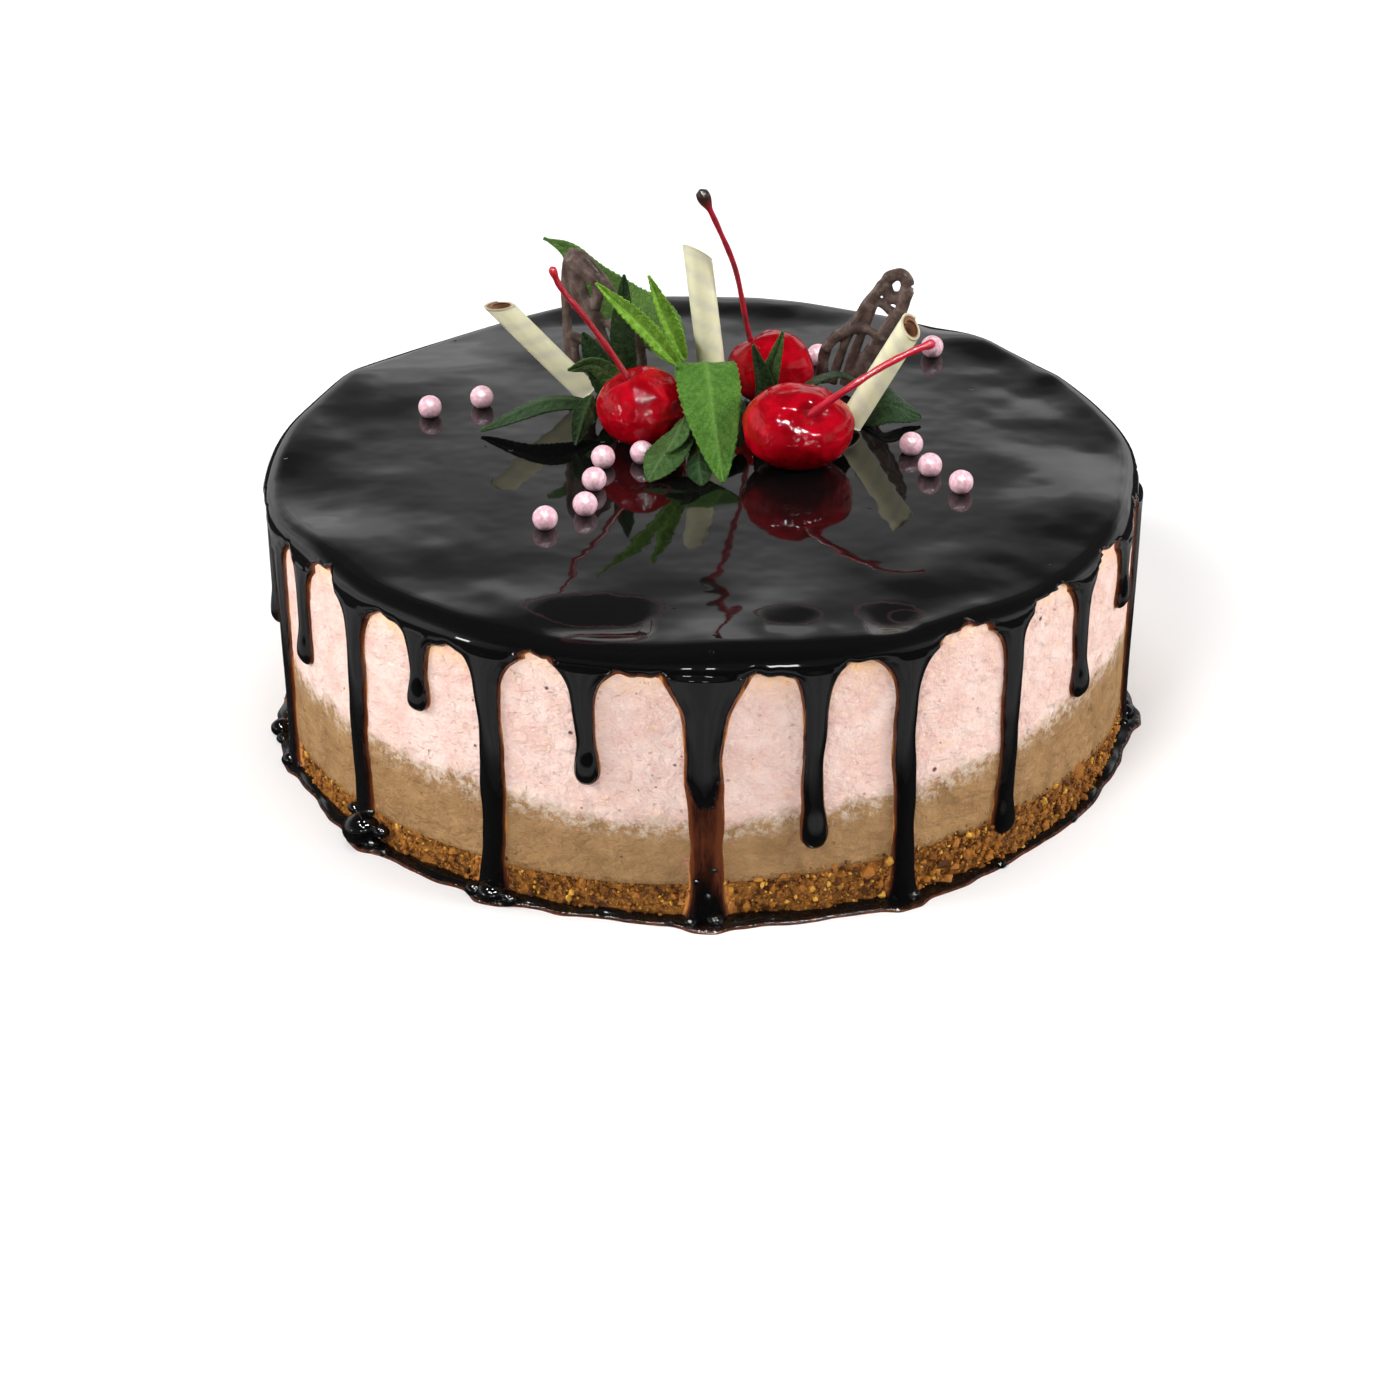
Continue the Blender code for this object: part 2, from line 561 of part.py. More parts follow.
def along_curve(points, share):
    """A point of the smooth curve through the points, and its direction; share runs 0 to 1."""
    points = [Vector(point) for point in points]
    ends = [points[0] * 2 - points[1]] + points + [points[-1] * 2 - points[-2]]
    place = min(max(share, 0.0), 0.9999) * (len(points) - 1)
    first = int(place)
    t = place - first
    a, b, c, d = ends[first:first + 4]
    spot = 0.5 * (2 * b + (c - a) * t + (2 * a - 5 * b + 4 * c - d) * t ** 2 + (3 * b - a - 3 * c + d) * t ** 3)
    way = 0.5 * ((c - a) + 2 * (2 * a - 5 * b + 4 * c - d) * t + 3 * (3 * b - a - 3 * c + d) * t ** 2)
    return spot, way.normalized()


def leaf_point(spec, along, sideways):
    """A point of a leaf's middle surface: along runs 0 to 1 from base to tip, sideways -1 to 1."""
    midrib, width, across, fold = spec
    centre, tangent = along_curve(midrib, along)
    side = Vector(across)
    side = (side - tangent * side.dot(tangent)).normalized()
    face = side.cross(tangent)
    reach = max(0.3, width / 2 * math.sin(math.pi * along ** 0.85) ** 0.7)
    ripple = 0.05 * math.sin(9 * along + 2 * sideways) * sideways ** 2
    lift = (fold * abs(sideways) ** 1.3 + ripple) * reach
    return clear_of_others(centre + side * reach * sideways + face * lift, LEAF_THICKNESS / 2 + GAP)


def build_leaves(into):
    look = material("mint", (0.09, 0.19, 0.04), 0.5)
    for name, spec in LEAVES.items():
        length = (Vector(spec[0][-1]) - Vector(spec[0][0])).length
        rows = 8 if length > LONG_LEAF else 6
        shape = bmesh.new()
        bmesh.ops.create_grid(shape, x_segments=rows, y_segments=4 if length > LONG_LEAF else 2, size=1)
        bmesh.ops.triangulate(shape, faces=shape.faces)
        for vertex in shape.verts:
            vertex.co = leaf_point(spec, (vertex.co.x + 1) / 2, vertex.co.y) * MM
        mesh = bpy.data.meshes.new(name)
        shape.to_mesh(mesh)
        shape.free()
        leaf = add_object(name, mesh, into, look)
        thick = leaf.modifiers.new("Thickness", "SOLIDIFY")
        thick.thickness = LEAF_THICKNESS * MM
        thick.offset = 0
        smooth(leaf)
    stem = tube_mesh([STEM_FOOT, STEM_TOP], [STEM_RADIUS, STEM_RADIUS * 0.9])
    smooth(add_object("mint_stem", stem, into, look))


def build_pearls(into):
    look = material("sugar pearl", (0.85, 0.55, 0.62), 0.25)
    shape = bmesh.new()
    bmesh.ops.create_icosphere(shape, subdivisions=2, radius=PEARL_RADIUS * MM)
    mesh = bpy.data.meshes.new("sugar_pearl")
    shape.to_mesh(mesh)
    shape.free()
    mesh.materials.append(look)
    mesh.shade_smooth()
    for index, (x, y) in enumerate(PEARL_PLACES):
        pearl = add_object(f"sugar_pearl_{index + 1:02d}", mesh, into)
        pearl.location = (x * MM, y * MM, (glaze_height(x, y) + GAP + PEARL_RADIUS) * MM)


def build_cake():
    clear_scene()
    cake = collection("berry_mousse_cake")
    cutters = collection("cutters")
    build_layers(cake)
    build_glaze(cake, cutters)
    build_cherries(cake)
    build_curls(cake)
    build_lattices(cake)
    build_leaves(cake)
    build_pearls(cake)
    bpy.context.view_layer.update()


build_cake()
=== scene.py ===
"""The looks of a berry mousse cake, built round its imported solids.

Every shape is worked out in millimetres from the dimensions that the solids have too, and turned into
metres as its mesh is made. The origin is the middle of the cake's foot, +Z is up and -Y is the front. An
angle runs round the cake from the front, in degrees, positive to the right.
"""

import itertools
import json
import math

import bpy
import numpy as np
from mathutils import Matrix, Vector

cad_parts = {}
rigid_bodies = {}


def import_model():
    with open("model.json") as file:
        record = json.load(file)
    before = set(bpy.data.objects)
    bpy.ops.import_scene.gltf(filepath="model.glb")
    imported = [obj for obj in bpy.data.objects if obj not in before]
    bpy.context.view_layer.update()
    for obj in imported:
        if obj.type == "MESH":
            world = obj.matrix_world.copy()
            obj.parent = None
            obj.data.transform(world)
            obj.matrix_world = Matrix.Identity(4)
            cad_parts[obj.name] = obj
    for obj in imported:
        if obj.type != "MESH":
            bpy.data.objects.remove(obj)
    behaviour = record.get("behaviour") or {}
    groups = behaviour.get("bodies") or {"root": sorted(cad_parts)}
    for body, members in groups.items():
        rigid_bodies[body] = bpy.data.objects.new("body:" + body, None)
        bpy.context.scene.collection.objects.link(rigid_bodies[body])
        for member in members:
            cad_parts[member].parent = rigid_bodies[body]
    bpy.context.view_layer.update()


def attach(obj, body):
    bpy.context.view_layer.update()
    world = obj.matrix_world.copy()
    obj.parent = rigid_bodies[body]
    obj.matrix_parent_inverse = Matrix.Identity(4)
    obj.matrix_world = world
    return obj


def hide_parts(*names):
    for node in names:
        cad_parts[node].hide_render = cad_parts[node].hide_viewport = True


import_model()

MM = 0.001

# ---------------------------------------------------------------- dimensions, in millimetres

CAKE_RADIUS = 100.0
MOUSSE_TOP = 62.0
LEVEL_RADIUS = 84.0            # inside this radius a layer's top is level
CRUMB_DEPTH = 0.9
CRUMB_HEAP = (42, 26)          # where the crumb is highest and how far that spreads, in degrees

GLAZE_TOP = 65.0
GLAZE_RADIUS = 101.6
RIM_ROLL = 5.0
ROLL_LOW = GLAZE_TOP - RIM_ROLL
CALM_RADIUS = 62.0             # inside this radius the glaze is a level mirror
UNDER_RADIUS = 99.3            # the glaze's inner face on the side, inside the mousse
UNDER_HEIGHT = 61.9
BARE = -0.6                    # cover below which the side is bare: the glaze ends there, inside the mousse
LIP = 3.0                      # height of the rounded lower edge of the glaze
NECK_DEPTH = 1.9               # how far a drip's neck stands out from the side
LOW_DEPTH = 1.6                # and how far low down, where it has run thinner
DROP_DEPTH = 2.6
FILM_DEPTH = 0.65              # of the centre drip, where it is only a film
FOOT_DEPTH = 0.25              # of the thin edge round every drip
POOL_HEIGHT = 1.5
POOL_WIDTH = 2.6

GAP = 0.3
SINK = 0.4                     # how much lower than its solid a thing rests, so that it touches the glaze
PEARL_RADIUS = 2.8
PEARL_SINK = 0.9
CURL_WALL = 0.8
STRAND_FLATNESS = 0.62         # a strand's thickness over its width
STRAND_STEP = 0.21             # how far each strand lies over the one before
LEAF_THICKNESS = 0.35
CHERRY_SEAT = 0.9

# Drips: angle, lowest point, width of the neck, width of the drop at the end. One that ends at 0 runs into
# the pool.
DRIPS = [
    (-172.0, 22.0, 4.8, 6.4), (-158.0, 0.0, 5.8, 6.8), (-146.0, 37.0, 4.4, 6.0), (-132.0, 0.0, 5.4, 6.4),
    (-117.0, 15.0, 5.0, 6.4), (-102.0, 0.0, 5.2, 6.4), (-86.0, 24.0, 4.4, 6.2), (-71.0, 0.0, 5.6, 7.0),
    (-61.6, 34.5, 4.6, 6.4), (-48.6, 0.0, 5.6, 6.4), (-37.1, 40.5, 3.8, 5.8), (-26.8, 0.0, 6.0, 6.6),
    (-14.3, 32.5, 4.7, 5.8), (0.2, 0.0, 7.4, 7.0), (13.4, 17.0, 5.0, 6.2), (25.2, 0.0, 5.4, 6.4),
    (41.0, 7.6, 5.0, 6.8), (55.4, 31.3, 4.7, 6.4), (69.0, 43.0, 4.2, 5.8), (84.0, 0.0, 5.0, 6.2),
    (97.0, 28.0, 4.8, 6.2), (109.0, 0.0, 5.6, 6.6), (121.0, 39.0, 4.4, 6.0), (134.0, 12.0, 5.0, 6.6),
    (149.0, 0.0, 5.8, 6.6), (161.0, 33.0, 4.6, 6.0), (174.0, 0.0, 5.4, 6.6),
]
CENTRE_DRIP = 0.2              # the widest drip: a thick wedge over a thin film
# How high the bare side reaches in the gap after each drip that shows from the front.
CRESTS = {-86.0: 61.4, -71.0: 60.6, -61.6: 63.2, -48.6: 60.1, -37.1: 58.3, -26.8: 61.2, -14.3: 59.2,
          0.2: 59.4, 13.4: 60.4, 25.2: 62.4, 41.0: 62.8, 55.4: 63.0, 69.0: 62.0}

# Cherries: middle, half sizes, the way the dimple faces, the stem's points, and the radii of stem and knob.
CHERRIES = {
    "cherry_front": (
        (21.7, -5.6), (12.6, 11.6, 9.5), (0.34, -0.66, 0.67), [(24.6, -11.5, 79.8), (32.0, -12.0, 85.6),
        (40.0, -10.0, 90.3), (47.0, -7.2, 93.0), (52.5, -5.0, 94.4)], 0.8, 1.1),
    "cherry_left": (
        (-14.4, 7.2), (10.4, 10.2, 9.1), (-0.44, 0.05, 0.90), [(-17.6, 8.0, 80.0), (-20.5, 8.3, 85.0),
        (-27.2, 8.8, 94.8), (-32.6, 9.3, 101.8), (-34.9, 9.6, 107.0)], 0.7, 1.0),
    "cherry_back": (
        (16.0, 31.5), (10.2, 9.6, 8.8), (-0.50, 0.30, 0.80), [(11.6, 31.0, 79.0), (10.2, 30.5, 85.0),
        (7.6, 30.0, 98.4), (3.4, 29.0, 109.5), (-0.8, 28.0, 119.0)], 0.65, 1.7),
}

# Curls: the axis at the low and the high end, the way the slanted mouth faces, the radius, and where the
# edge lies.
CURLS = {
    "white_curl_left": ((-27.5, 29.0, 67.9), (-48.5, 33.0, 88.4), (-0.10, 0.0, 1.0), 3.3, 200),
    "white_curl_middle": ((3.3, 24.6, 66.6), (-1.2, 33.0, 101.6), (0.42, 0.50, 0.76), 3.5, 330),
    "white_curl_right": ((34.6, 11.6, 67.4), (48.4, 14.5, 90.2), (0.62, -0.42, 0.66), 3.4, 340),
}

# Lattices: where the middle of the foot stands, the way the panel runs from left to right, and its strands:
# half a width, points across and up from there, and whether the strand closes on itself.
LATTICES = {
    "dark_lattice_left": ((-24.0, 36.6), (0.98, -0.20), [
        (1.4, [(-7.8, 34.6), (-9.0, 30.0), (-9.1, 20.0), (-8.6, 10.0), (-6.5, 1.5)], False),
        (1.6, [(-8.2, 34.8), (-5.6, 34.6), (-1.6, 30.8), (1.2, 27.0), (4.2, 22.6), (7.6, 16.0),
         (9.4, 9.0), (8.0, 1.5)], False),
        (1.7, [(-7.4, 33.6), (-6.2, 29.2), (-3.6, 22.6), (-0.6, 15.6), (1.6, 8.0), (2.4, 1.5)], False),
        (1.6, [(-7.6, 34.0), (-4.2, 30.6), (-1.0, 27.4), (-1.6, 21.6)], False),
        (1.5, [(-8.0, 30.0), (-6.4, 24.0), (-5.2, 20.6)], False),
        (1.4, [(-8.4, 14.2), (-4.7, 13.0), (0.2, 13.6)], False),
        (1.3, [(-2.0, 21.0), (0.2, 18.2), (6.0, 18.4)], False),
        (1.2, [(2.0, 18.6), (4.0, 12.0), (6.0, 1.5)], False),
        (1.2, [(-3.6, 13.0), (-2.6, 6.0), (-1.0, 1.5)], False),
        (1.1, [(-7.0, 13.0), (-6.8, 8.0), (-5.0, 1.5)], False),
    ]),
    "dark_lattice_right": ((34.0, 37.4), (1.0, -0.12), [
        (1.8, [(14.9, 27.4), (14.2, 29.6), (12.2, 30.2), (10.2, 29.0), (9.7, 26.6), (11.2, 24.4),
         (13.8, 24.8)], True),
        (1.6, [(9.4, 28.0), (6.2, 23.8), (3.6, 19.4), (1.2, 16.2), (-2.8, 13.2), (-4.5, 10.0),
         (-5.1, 6.0), (-5.2, 1.5)], False),
        (1.7, [(15.0, 26.6), (13.6, 21.8), (10.6, 15.4), (6.2, 7.0), (3.4, 1.5)], False),
        (1.3, [(-4.6, 10.4), (-1.1, 14.6), (3.7, 16.4), (7.0, 15.6), (10.2, 13.0)], False),
        (1.3, [(7.0, 23.6), (9.0, 22.6), (11.2, 20.8), (13.6, 20.6)], False),
        (1.3, [(8.6, 28.0), (6.0, 22.8), (1.6, 15.8), (-1.4, 7.0), (-2.6, 1.5)], False),
        (1.3, [(6.8, 22.6), (4.4, 15.5), (1.6, 7.0), (0.2, 1.5)], False),
        (1.3, [(12.0, 20.4), (7.6, 13.6), (4.4, 7.6), (2.2, 1.5)], False),
    ]),
}

# Leaves: points along the midrib from base to tip, width, the way across the blade, how far its edges fold
# up, and the name of its green.
LEAVES = {
    "mint_leaf_front": (
        [(-2.0, 12.4, 77.5), (0.3, 9.6, 83.2), (2.2, -4.4, 76.4), (4.4, -18.8, 65.9)], 15.4,
        (1.0, 0.10, 0.0), 0.10, "fresh"),
    "mint_leaf_front_left": (
        [(-3.4, 0.4, 72.0), (-8.6, -11.2, 70.0), (-12.6, -18.2, 65.9)], 9.8, (0.9, 0.1, 0.1), 0.12,
        "dull"),
    "mint_leaf_front_small": (
        [(-4.2, 0.0, 74.0), (-6.2, -8.2, 72.6), (-8.4, -13.0, 70.6)], 6.0, (0.9, -0.1, 0.35), 0.12,
        "dull"),
    "mint_leaf_front_under": (
        [(-1.2, -9.0, 69.0), (-1.0, -15.2, 67.4), (-0.4, -20.4, 65.9)], 6.0, (1.0, 0.0, 0.0), 0.15,
        "dark"),
    "mint_leaf_left": (
        [(-25.0, 17.0, 70.0), (-37.5, 12.6, 72.2), (-52.4, 10.2, 65.9)], 11.0, (0.1, -1.0, 0.05), 0.12,
        "dark"),
    "mint_leaf_left_drop": (
        [(-26.0, 9.0, 75.4), (-28.0, 4.4, 71.6), (-29.8, 1.8, 65.9)], 5.6, (1.0, 0.5, 0.0), 0.18, "dark"),
    "mint_leaf_right": (
        [(36.0, 20.0, 66.6), (43.6, 17.6, 69.4), (51.6, 17.4, 66.2)], 14.0, (0.0, -1.0, -0.25), -0.10,
        "dark"),
    "mint_leaf_right_back": (
        [(20.6, 17.4, 66.3), (23.4, 16.2, 74.6), (31.0, 17.4, 77.6), (38.5, 22.4, 72.4)], 9.6,
        (0.0, -1.0, 0.25), -0.18, "dark"),
    "mint_bud_left": (
        [(12.4, 12.6, 66.2), (14.2, 12.0, 76.5), (11.5, 10.6, 87.4)], 4.4, (1.0, 0.1, 0.1), 0.30, "dark"),
    "mint_bud_right": (
        [(14.6, 16.4, 66.2), (15.4, 15.6, 76.5), (18.5, 14.6, 89.2)], 4.6, (1.0, -0.1, 0.0), 0.30,
        "dull"),
    "mint_leaf_back_tall": (
        [(-5.0, 18.6, 79.6), (-9.8, 37.0, 80.4), (-18.4, 45.0, 82.9), (-26.6, 48.0, 89.1),
        (-32.4, 49.0, 96.2), (-38.6, 49.5, 99.3)], 13.0, (0.62, 0.10, 0.66), 0.10, "mild"),
    "mint_leaf_bright_left": (
        [(-5.6, 13.6, 80.8), (-14.6, 11.6, 92.0), (-24.8, 10.2, 102.8)], 5.0, (0.62, 0.45, 0.50), 0.60,
        "bright"),
    "mint_leaf_bright_middle": (
        [(-4.4, 18.4, 80.4), (-8.4, 17.0, 90.6), (-12.8, 16.0, 102.4)], 4.6, (0.9, 0.45, 0.25), 0.70,
        "bright"),
    "mint_leaf_dark_upright": (
        [(-17.6, 25.0, 66.2), (-19.2, 24.6, 83.0), (-18.6, 24.0, 99.6)], 6.4, (1.0, 0.1, 0.0), 0.20,
        "dark"),
    "mint_leaf_dark_left": (
        [(-21.6, 21.8, 66.2), (-25.0, 21.6, 78.0), (-28.4, 21.4, 86.2)], 6.4, (0.9, 0.1, 0.25), 0.16,
        "dark"),
    "mint_leaf_dark_low": (
        [(-16.6, 18.8, 66.2), (-20.4, 18.2, 74.6), (-25.4, 17.8, 79.4), (-32.0, 18.4, 78.0)], 6.4,
        (0.3, -0.3, 0.9), 0.10, "dull"),
    "mint_leaf_front_right": (
        [(4.6, 9.6, 76.0), (7.6, 5.6, 72.6), (8.4, 0.6, 65.9)], 6.6, (0.85, 0.5, 0.0), 0.12, "dark"),
}
STEM_TOP = (-3.2, 15.7, 80.2)
STEM_FOOT = (-1.6, 17.2, 65.2)
STEM_RADIUS = 1.2

PEARL_PLACES = [
    (-65.2, 21.3), (-53.2, 27.3), (-35.0, -40.4), (-26.4, -33.1), (-24.8, -19.8), (-23.1, -7.7),
    (-14.2, -5.2), (48.2, -0.3), (51.8, -12.1), (58.2, -21.4), (57.0, 58.3), (28.4, 53.7),
]


# ---------------------------------------------------------------- the cake's rules, on numbers or arrays

def smooth_step(low, high, value):
    """0 at low, 1 at high, smooth between."""
    share = np.clip((value - low) / (high - low), 0.0, 1.0)
    return share * share * (3 - 2 * share)


def wrapped(angle):
    """The same angle between -180 and 180."""
    return (angle + 180) % 360 - 180


def arc(angle):
    """How far round the side an angle reaches."""
    return np.radians(wrapped(angle)) * CAKE_RADIUS


def bell(angle, centre, width):
    """A bell round the cake, 1 at centre."""
    return np.exp(-(wrapped(angle - centre) / width) ** 2)


def on_side(angle, radius, z):
    """The point at an angle, radius and height."""
    a = np.radians(angle)
    return np.stack(np.broadcast_arrays(radius * np.sin(a), -radius * np.cos(a), z), -1)


def crumb_top(angle):
    a = np.radians(angle)
    return 9.0 + 2.8 * bell(angle, *CRUMB_HEAP) + 0.5 * np.sin(3 * a + 1.0) + 0.35 * np.sin(7 * a)


def berry_bottom(angle):
    a = np.radians(angle)
    wave = 0.5 * np.sin(5 * a + 0.4) + 0.3 * np.sin(9 * a)
    return 28.0 - 3.6 * bell(angle, 2, 24) + 4.2 * bell(angle, 60, 22) + wave


def mousse_top(angle):
    """The mousse's upper edge, a little higher where the glaze has run thin."""
    return MOUSSE_TOP + 1.5 * bell(angle, -60, 18) + 1.3 * bell(angle, 50, 24)


def glaze_outline(angle):
    a = np.radians(angle)
    return GLAZE_RADIUS + 0.5 * np.sin(3 * a - 0.9) + 0.4 * np.sin(8 * a) + 0.25 * np.sin(15 * a + 2.0)


def glaze_height(x, y):
    radius = np.hypot(x, y)
    a = np.arctan2(x, -y)
    wave = 0.55 * np.sin(6 * a + 0.5) + 0.4 * np.sin(11 * a + radius / 14) + 0.3 * np.sin(4 * a - radius / 9)
    return GLAZE_TOP + wave * smooth_step(CALM_RADIUS, GLAZE_RADIUS, radius)


def glaze_level(x, y):
    """The glaze's height at one place."""
    return float(glaze_height(x, y))


def pool_reach(angle):
    a = np.radians(angle)
    lumps = sum(bell(angle, drip[0], 2.8) for drip in DRIPS if drip[1] == 0)
    narrow = 1 - 0.5 * bell(angle, -62, 13)
    wave = 1.0 + 0.25 * np.sin(5 * a) + 0.15 * np.sin(13 * a + 1) + 0.12 * np.sin(37 * a)
    return POOL_WIDTH * wave * narrow + 1.9 * smooth_step(0.05, 0.85, lumps)


def rough(points, size, seed):
    """A smooth random field from -1 to 1, with bumps about size mm across."""
    place = np.asarray(points, float) / size
    cell = np.floor(place).astype(np.int64)
    part = place - cell
    part = part * part * (3 - 2 * part)
    total = 0.0
    for corner in itertools.product((0, 1), repeat=3):
        at = cell + corner
        mixed = (at[..., 0] * 73856093 ^ at[..., 1] * 19349663 ^ at[..., 2] * 83492791 ^ seed * 2654435761)
        mixed = ((mixed & 0xFFFFFFFF) ^ (mixed >> 13 & 0xFFFFF)) * 1274126177 & 0xFFFFFFFF
        value = (mixed ^ mixed >> 16) / 0x7FFFFFFF - 1
        weight = np.prod(np.where(corner, part, 1 - part), axis=-1)
        total = total + value * weight
    return total


# ---------------------------------------------------------------- meshes

def made_object(name, points, faces, look, values=None):
    """An object out of points in millimetres and faces; values has numbers for each point, by name."""
    mesh = bpy.data.meshes.new(name)
    mesh.from_pydata((np.asarray(points, float).reshape(-1, 3) * MM).tolist(), [], faces)
    for key, numbers in (values or {}).items():
        flat = np.asarray(numbers, np.float32).ravel()
        mesh.attributes.new(key, "FLOAT", "POINT").data.foreach_set("value", flat)
    mesh.materials.append(look)
    mesh.shade_smooth()
    made = bpy.data.objects.new(name, mesh)
    bpy.context.scene.collection.objects.link(made)
    return made


def in_frame(made, slot, *nodes):
    """Lets an object ride on the body in place of its solid."""
    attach(made, "root")
    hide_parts(*nodes)


def apply_modifiers(made):
    """Turns what an object's modifiers make into its mesh."""
    graph = bpy.context.evaluated_depsgraph_get()
    mesh = bpy.data.meshes.new_from_object(made.evaluated_get(graph))
    made.modifiers.clear()
    made.data = mesh
    made.data.shade_smooth()


def grid_faces(rows, columns, closed=True, closed_rows=False):
    """The quads of a grid of points. Seen from outside, its rows run down and its columns to the right."""
    row, column = np.mgrid[0:rows if closed_rows else rows - 1, 0:columns if closed else columns - 1]
    below = (row + 1) % rows * columns
    right = (column + 1) % columns
    quads = [row * columns + column, below + column, below + right, row * columns + right]
    return np.stack(quads, -1).reshape(-1, 4).tolist()


def turned_faces(rows, columns):
    """A closed grid with its first and last row filled."""
    faces = grid_faces(rows, columns)
    faces.append(list(range(columns)))
    faces.append(list(range(rows * columns - 1, (rows - 1) * columns - 1, -1)))
    return faces


def along_curve(points, share):
    """A point of the smooth curve through the points, and its direction; share runs 0 to 1."""
    points = [Vector(point) for point in points]
    ends = [points[0] * 2 - points[1]] + points + [points[-1] * 2 - points[-2]]
    place = min(max(share, 0.0), 0.9999) * (len(points) - 1)
    first = int(place)
    t = place - first
    a, b, c, d = ends[first:first + 4]
    first_order, second_order, third_order = c - a, 2 * a - 5 * b + 4 * c - d, 3 * b - a - 3 * c + d
    spot = 0.5 * (2 * b + first_order * t + second_order * t ** 2 + third_order * t ** 3)
    way = 0.5 * (first_order + 2 * second_order * t + 3 * third_order * t ** 2)
    return spot, way.normalized()


def tube(line, radii, sides):
    """Points and faces of a round tube along a line, with round ends."""
    line = [Vector(point) for point in line]
    side = (line[1] - line[0]).orthogonal().normalized()
    rings = []
    for index, (spot, radius) in enumerate(zip(line, radii)):
        way = (line[min(index + 1, len(line) - 1)] - line[max(index - 1, 0)]).normalized()
        side = (side - way * side.dot(way)).normalized()
        over = way.cross(side)
        turns = [2 * math.pi * k / sides for k in range(sides)]
        rings.append([spot + (side * math.cos(t) - over * math.sin(t)) * radius for t in turns])
    return np.array(rings).reshape(-1, 3), turned_faces(len(rings), sides)


def ball(rows, columns, cap):
    """Directions in rings over a ball; the first and the last ring lie cap degrees from its poles."""
    down = np.radians(np.linspace(cap, 180 - cap, rows))[:, None]
    turn = np.linspace(0, 2 * np.pi, columns, endpoint=False)
    x, y, z = np.sin(down) * np.cos(turn), np.sin(down) * np.sin(turn), np.cos(down)
    return np.stack(np.broadcast_arrays(x, y, z), -1)


def merged(parts):
    """Several (points, faces) as one."""
    points, faces, start = [], [], 0
    for some_points, some_faces in parts:
        points.append(np.asarray(some_points).reshape(-1, 3))
        faces += [[index + start for index in face] for face in some_faces]
        start += len(points[-1])
    return np.concatenate(points), faces


# ---------------------------------------------------------------- looks

class Wiring:
    """Short ways to wire the nodes of a tree."""

    def __init__(self, tree, place):
        self.tree = tree
        self.place = tree.nodes.new("ShaderNodeTexCoord").outputs[place]

    def put(self, socket, value):
        """Links a socket, or sets its value."""
        if isinstance(value, bpy.types.NodeSocket):
            self.tree.links.new(value, socket)
        elif isinstance(value, tuple) and socket.type == "RGBA":
            socket.default_value = (*value, 1.0)
        else:
            socket.default_value = value

    def node(self, kind, inputs=None, **settings):
        made = self.tree.nodes.new("ShaderNode" + kind)
        for key, value in settings.items():
            setattr(made, key, value)
        for key, value in (inputs or {}).items():
            self.put(made.inputs[key], value)
        return made

    def number(self, name):
        """A number stored with the mesh."""
        return self.node("Attribute", attribute_name=name).outputs["Fac"]

    def math(self, operation, a, b=0.0):
        made = self.node("Math", operation=operation)
        self.put(made.inputs[0], a)
        self.put(made.inputs[1], b)
        return made.outputs[0]

    def noise(self, size, detail=3.0, roughness=0.55, stretch=(1, 1, 1), distortion=0.0):
        """Noise with bumps about size mm across."""
        place = self.node("Mapping", {"Vector": self.place, "Scale": stretch}).outputs[0]
        inputs = {"Vector": place, "Scale": 1 / (size * MM), "Detail": detail, "Roughness": roughness,
                  "Distortion": distortion}
        return self.node("TexNoise", inputs).outputs["Fac"]

    def spots(self, spacing, radius, share, shift=0.0):
        """1 in round spots of a radius, in a share of the cells that are spacing mm wide."""
        place = self.node("Mapping", {"Vector": self.place, "Location": (shift, shift, shift)}).outputs[0]
        cells = self.node("TexVoronoi", {"Vector": place, "Scale": 1 / (spacing * MM)})
        near = self.steps(cells.outputs["Distance"], radius / spacing, 0.55 * radius / spacing)
        chosen = self.node("SeparateColor", {"Color": cells.outputs["Color"]}).outputs[0]
        return self.math("MULTIPLY", near, self.math("LESS_THAN", chosen, share))

    def ring(self, x, y, half_x, half_y, thick):
        """1 along the ragged edge of an oval mark on the cake's top."""
        inputs = {"Vector": self.place, "Location": (-x / half_x, -y / half_y, 0.0),
                  "Scale": (1 / (half_x * MM), 1 / (half_y * MM), 0.0)}
        place = self.node("Mapping", inputs).outputs[0]
        away = self.node("VectorMath", {0: place}, operation="LENGTH").outputs["Value"]
        away = self.math("ADD", away, self.math("MULTIPLY", self.noise(3.5, 3), 0.45))
        return self.steps(self.math("ABSOLUTE", self.math("SUBTRACT", away, 1.22)), thick, 0.0)

    def steps(self, value, low, high, to_low=0.0, to_high=1.0, kind="SMOOTHSTEP"):
        """value's way from low to high, as a number between two ends."""
        inputs = {"Value": value, "From Min": low, "From Max": high, "To Min": to_low, "To Max": to_high}
        return self.node("MapRange", inputs, interpolation_type=kind).outputs[0]

    def mix(self, share, a, b, blend="MIX"):
        made = self.node("Mix", data_type="RGBA", blend_type=blend)
        self.put(made.inputs["Factor"], share)
        self.put(made.inputs[6], a)
        self.put(made.inputs[7], b)
        return made.outputs[2]

    def over(self, colour, field, low, high, paint, most=1.0):
        """A colour with a paint over it, from none where the field is low to most where it is high."""
        return self.mix(self.steps(field, low, high, 0.0, most), colour, paint)

    def bump(self, height, depth, below=None):
        """A bump of a depth in millimetres, over another one."""
        inputs = {"Height": height, "Strength": 1.0, "Distance": depth * MM}
        if below is not None:
            inputs["Normal"] = below
        return self.node("Bump", inputs).outputs[0]


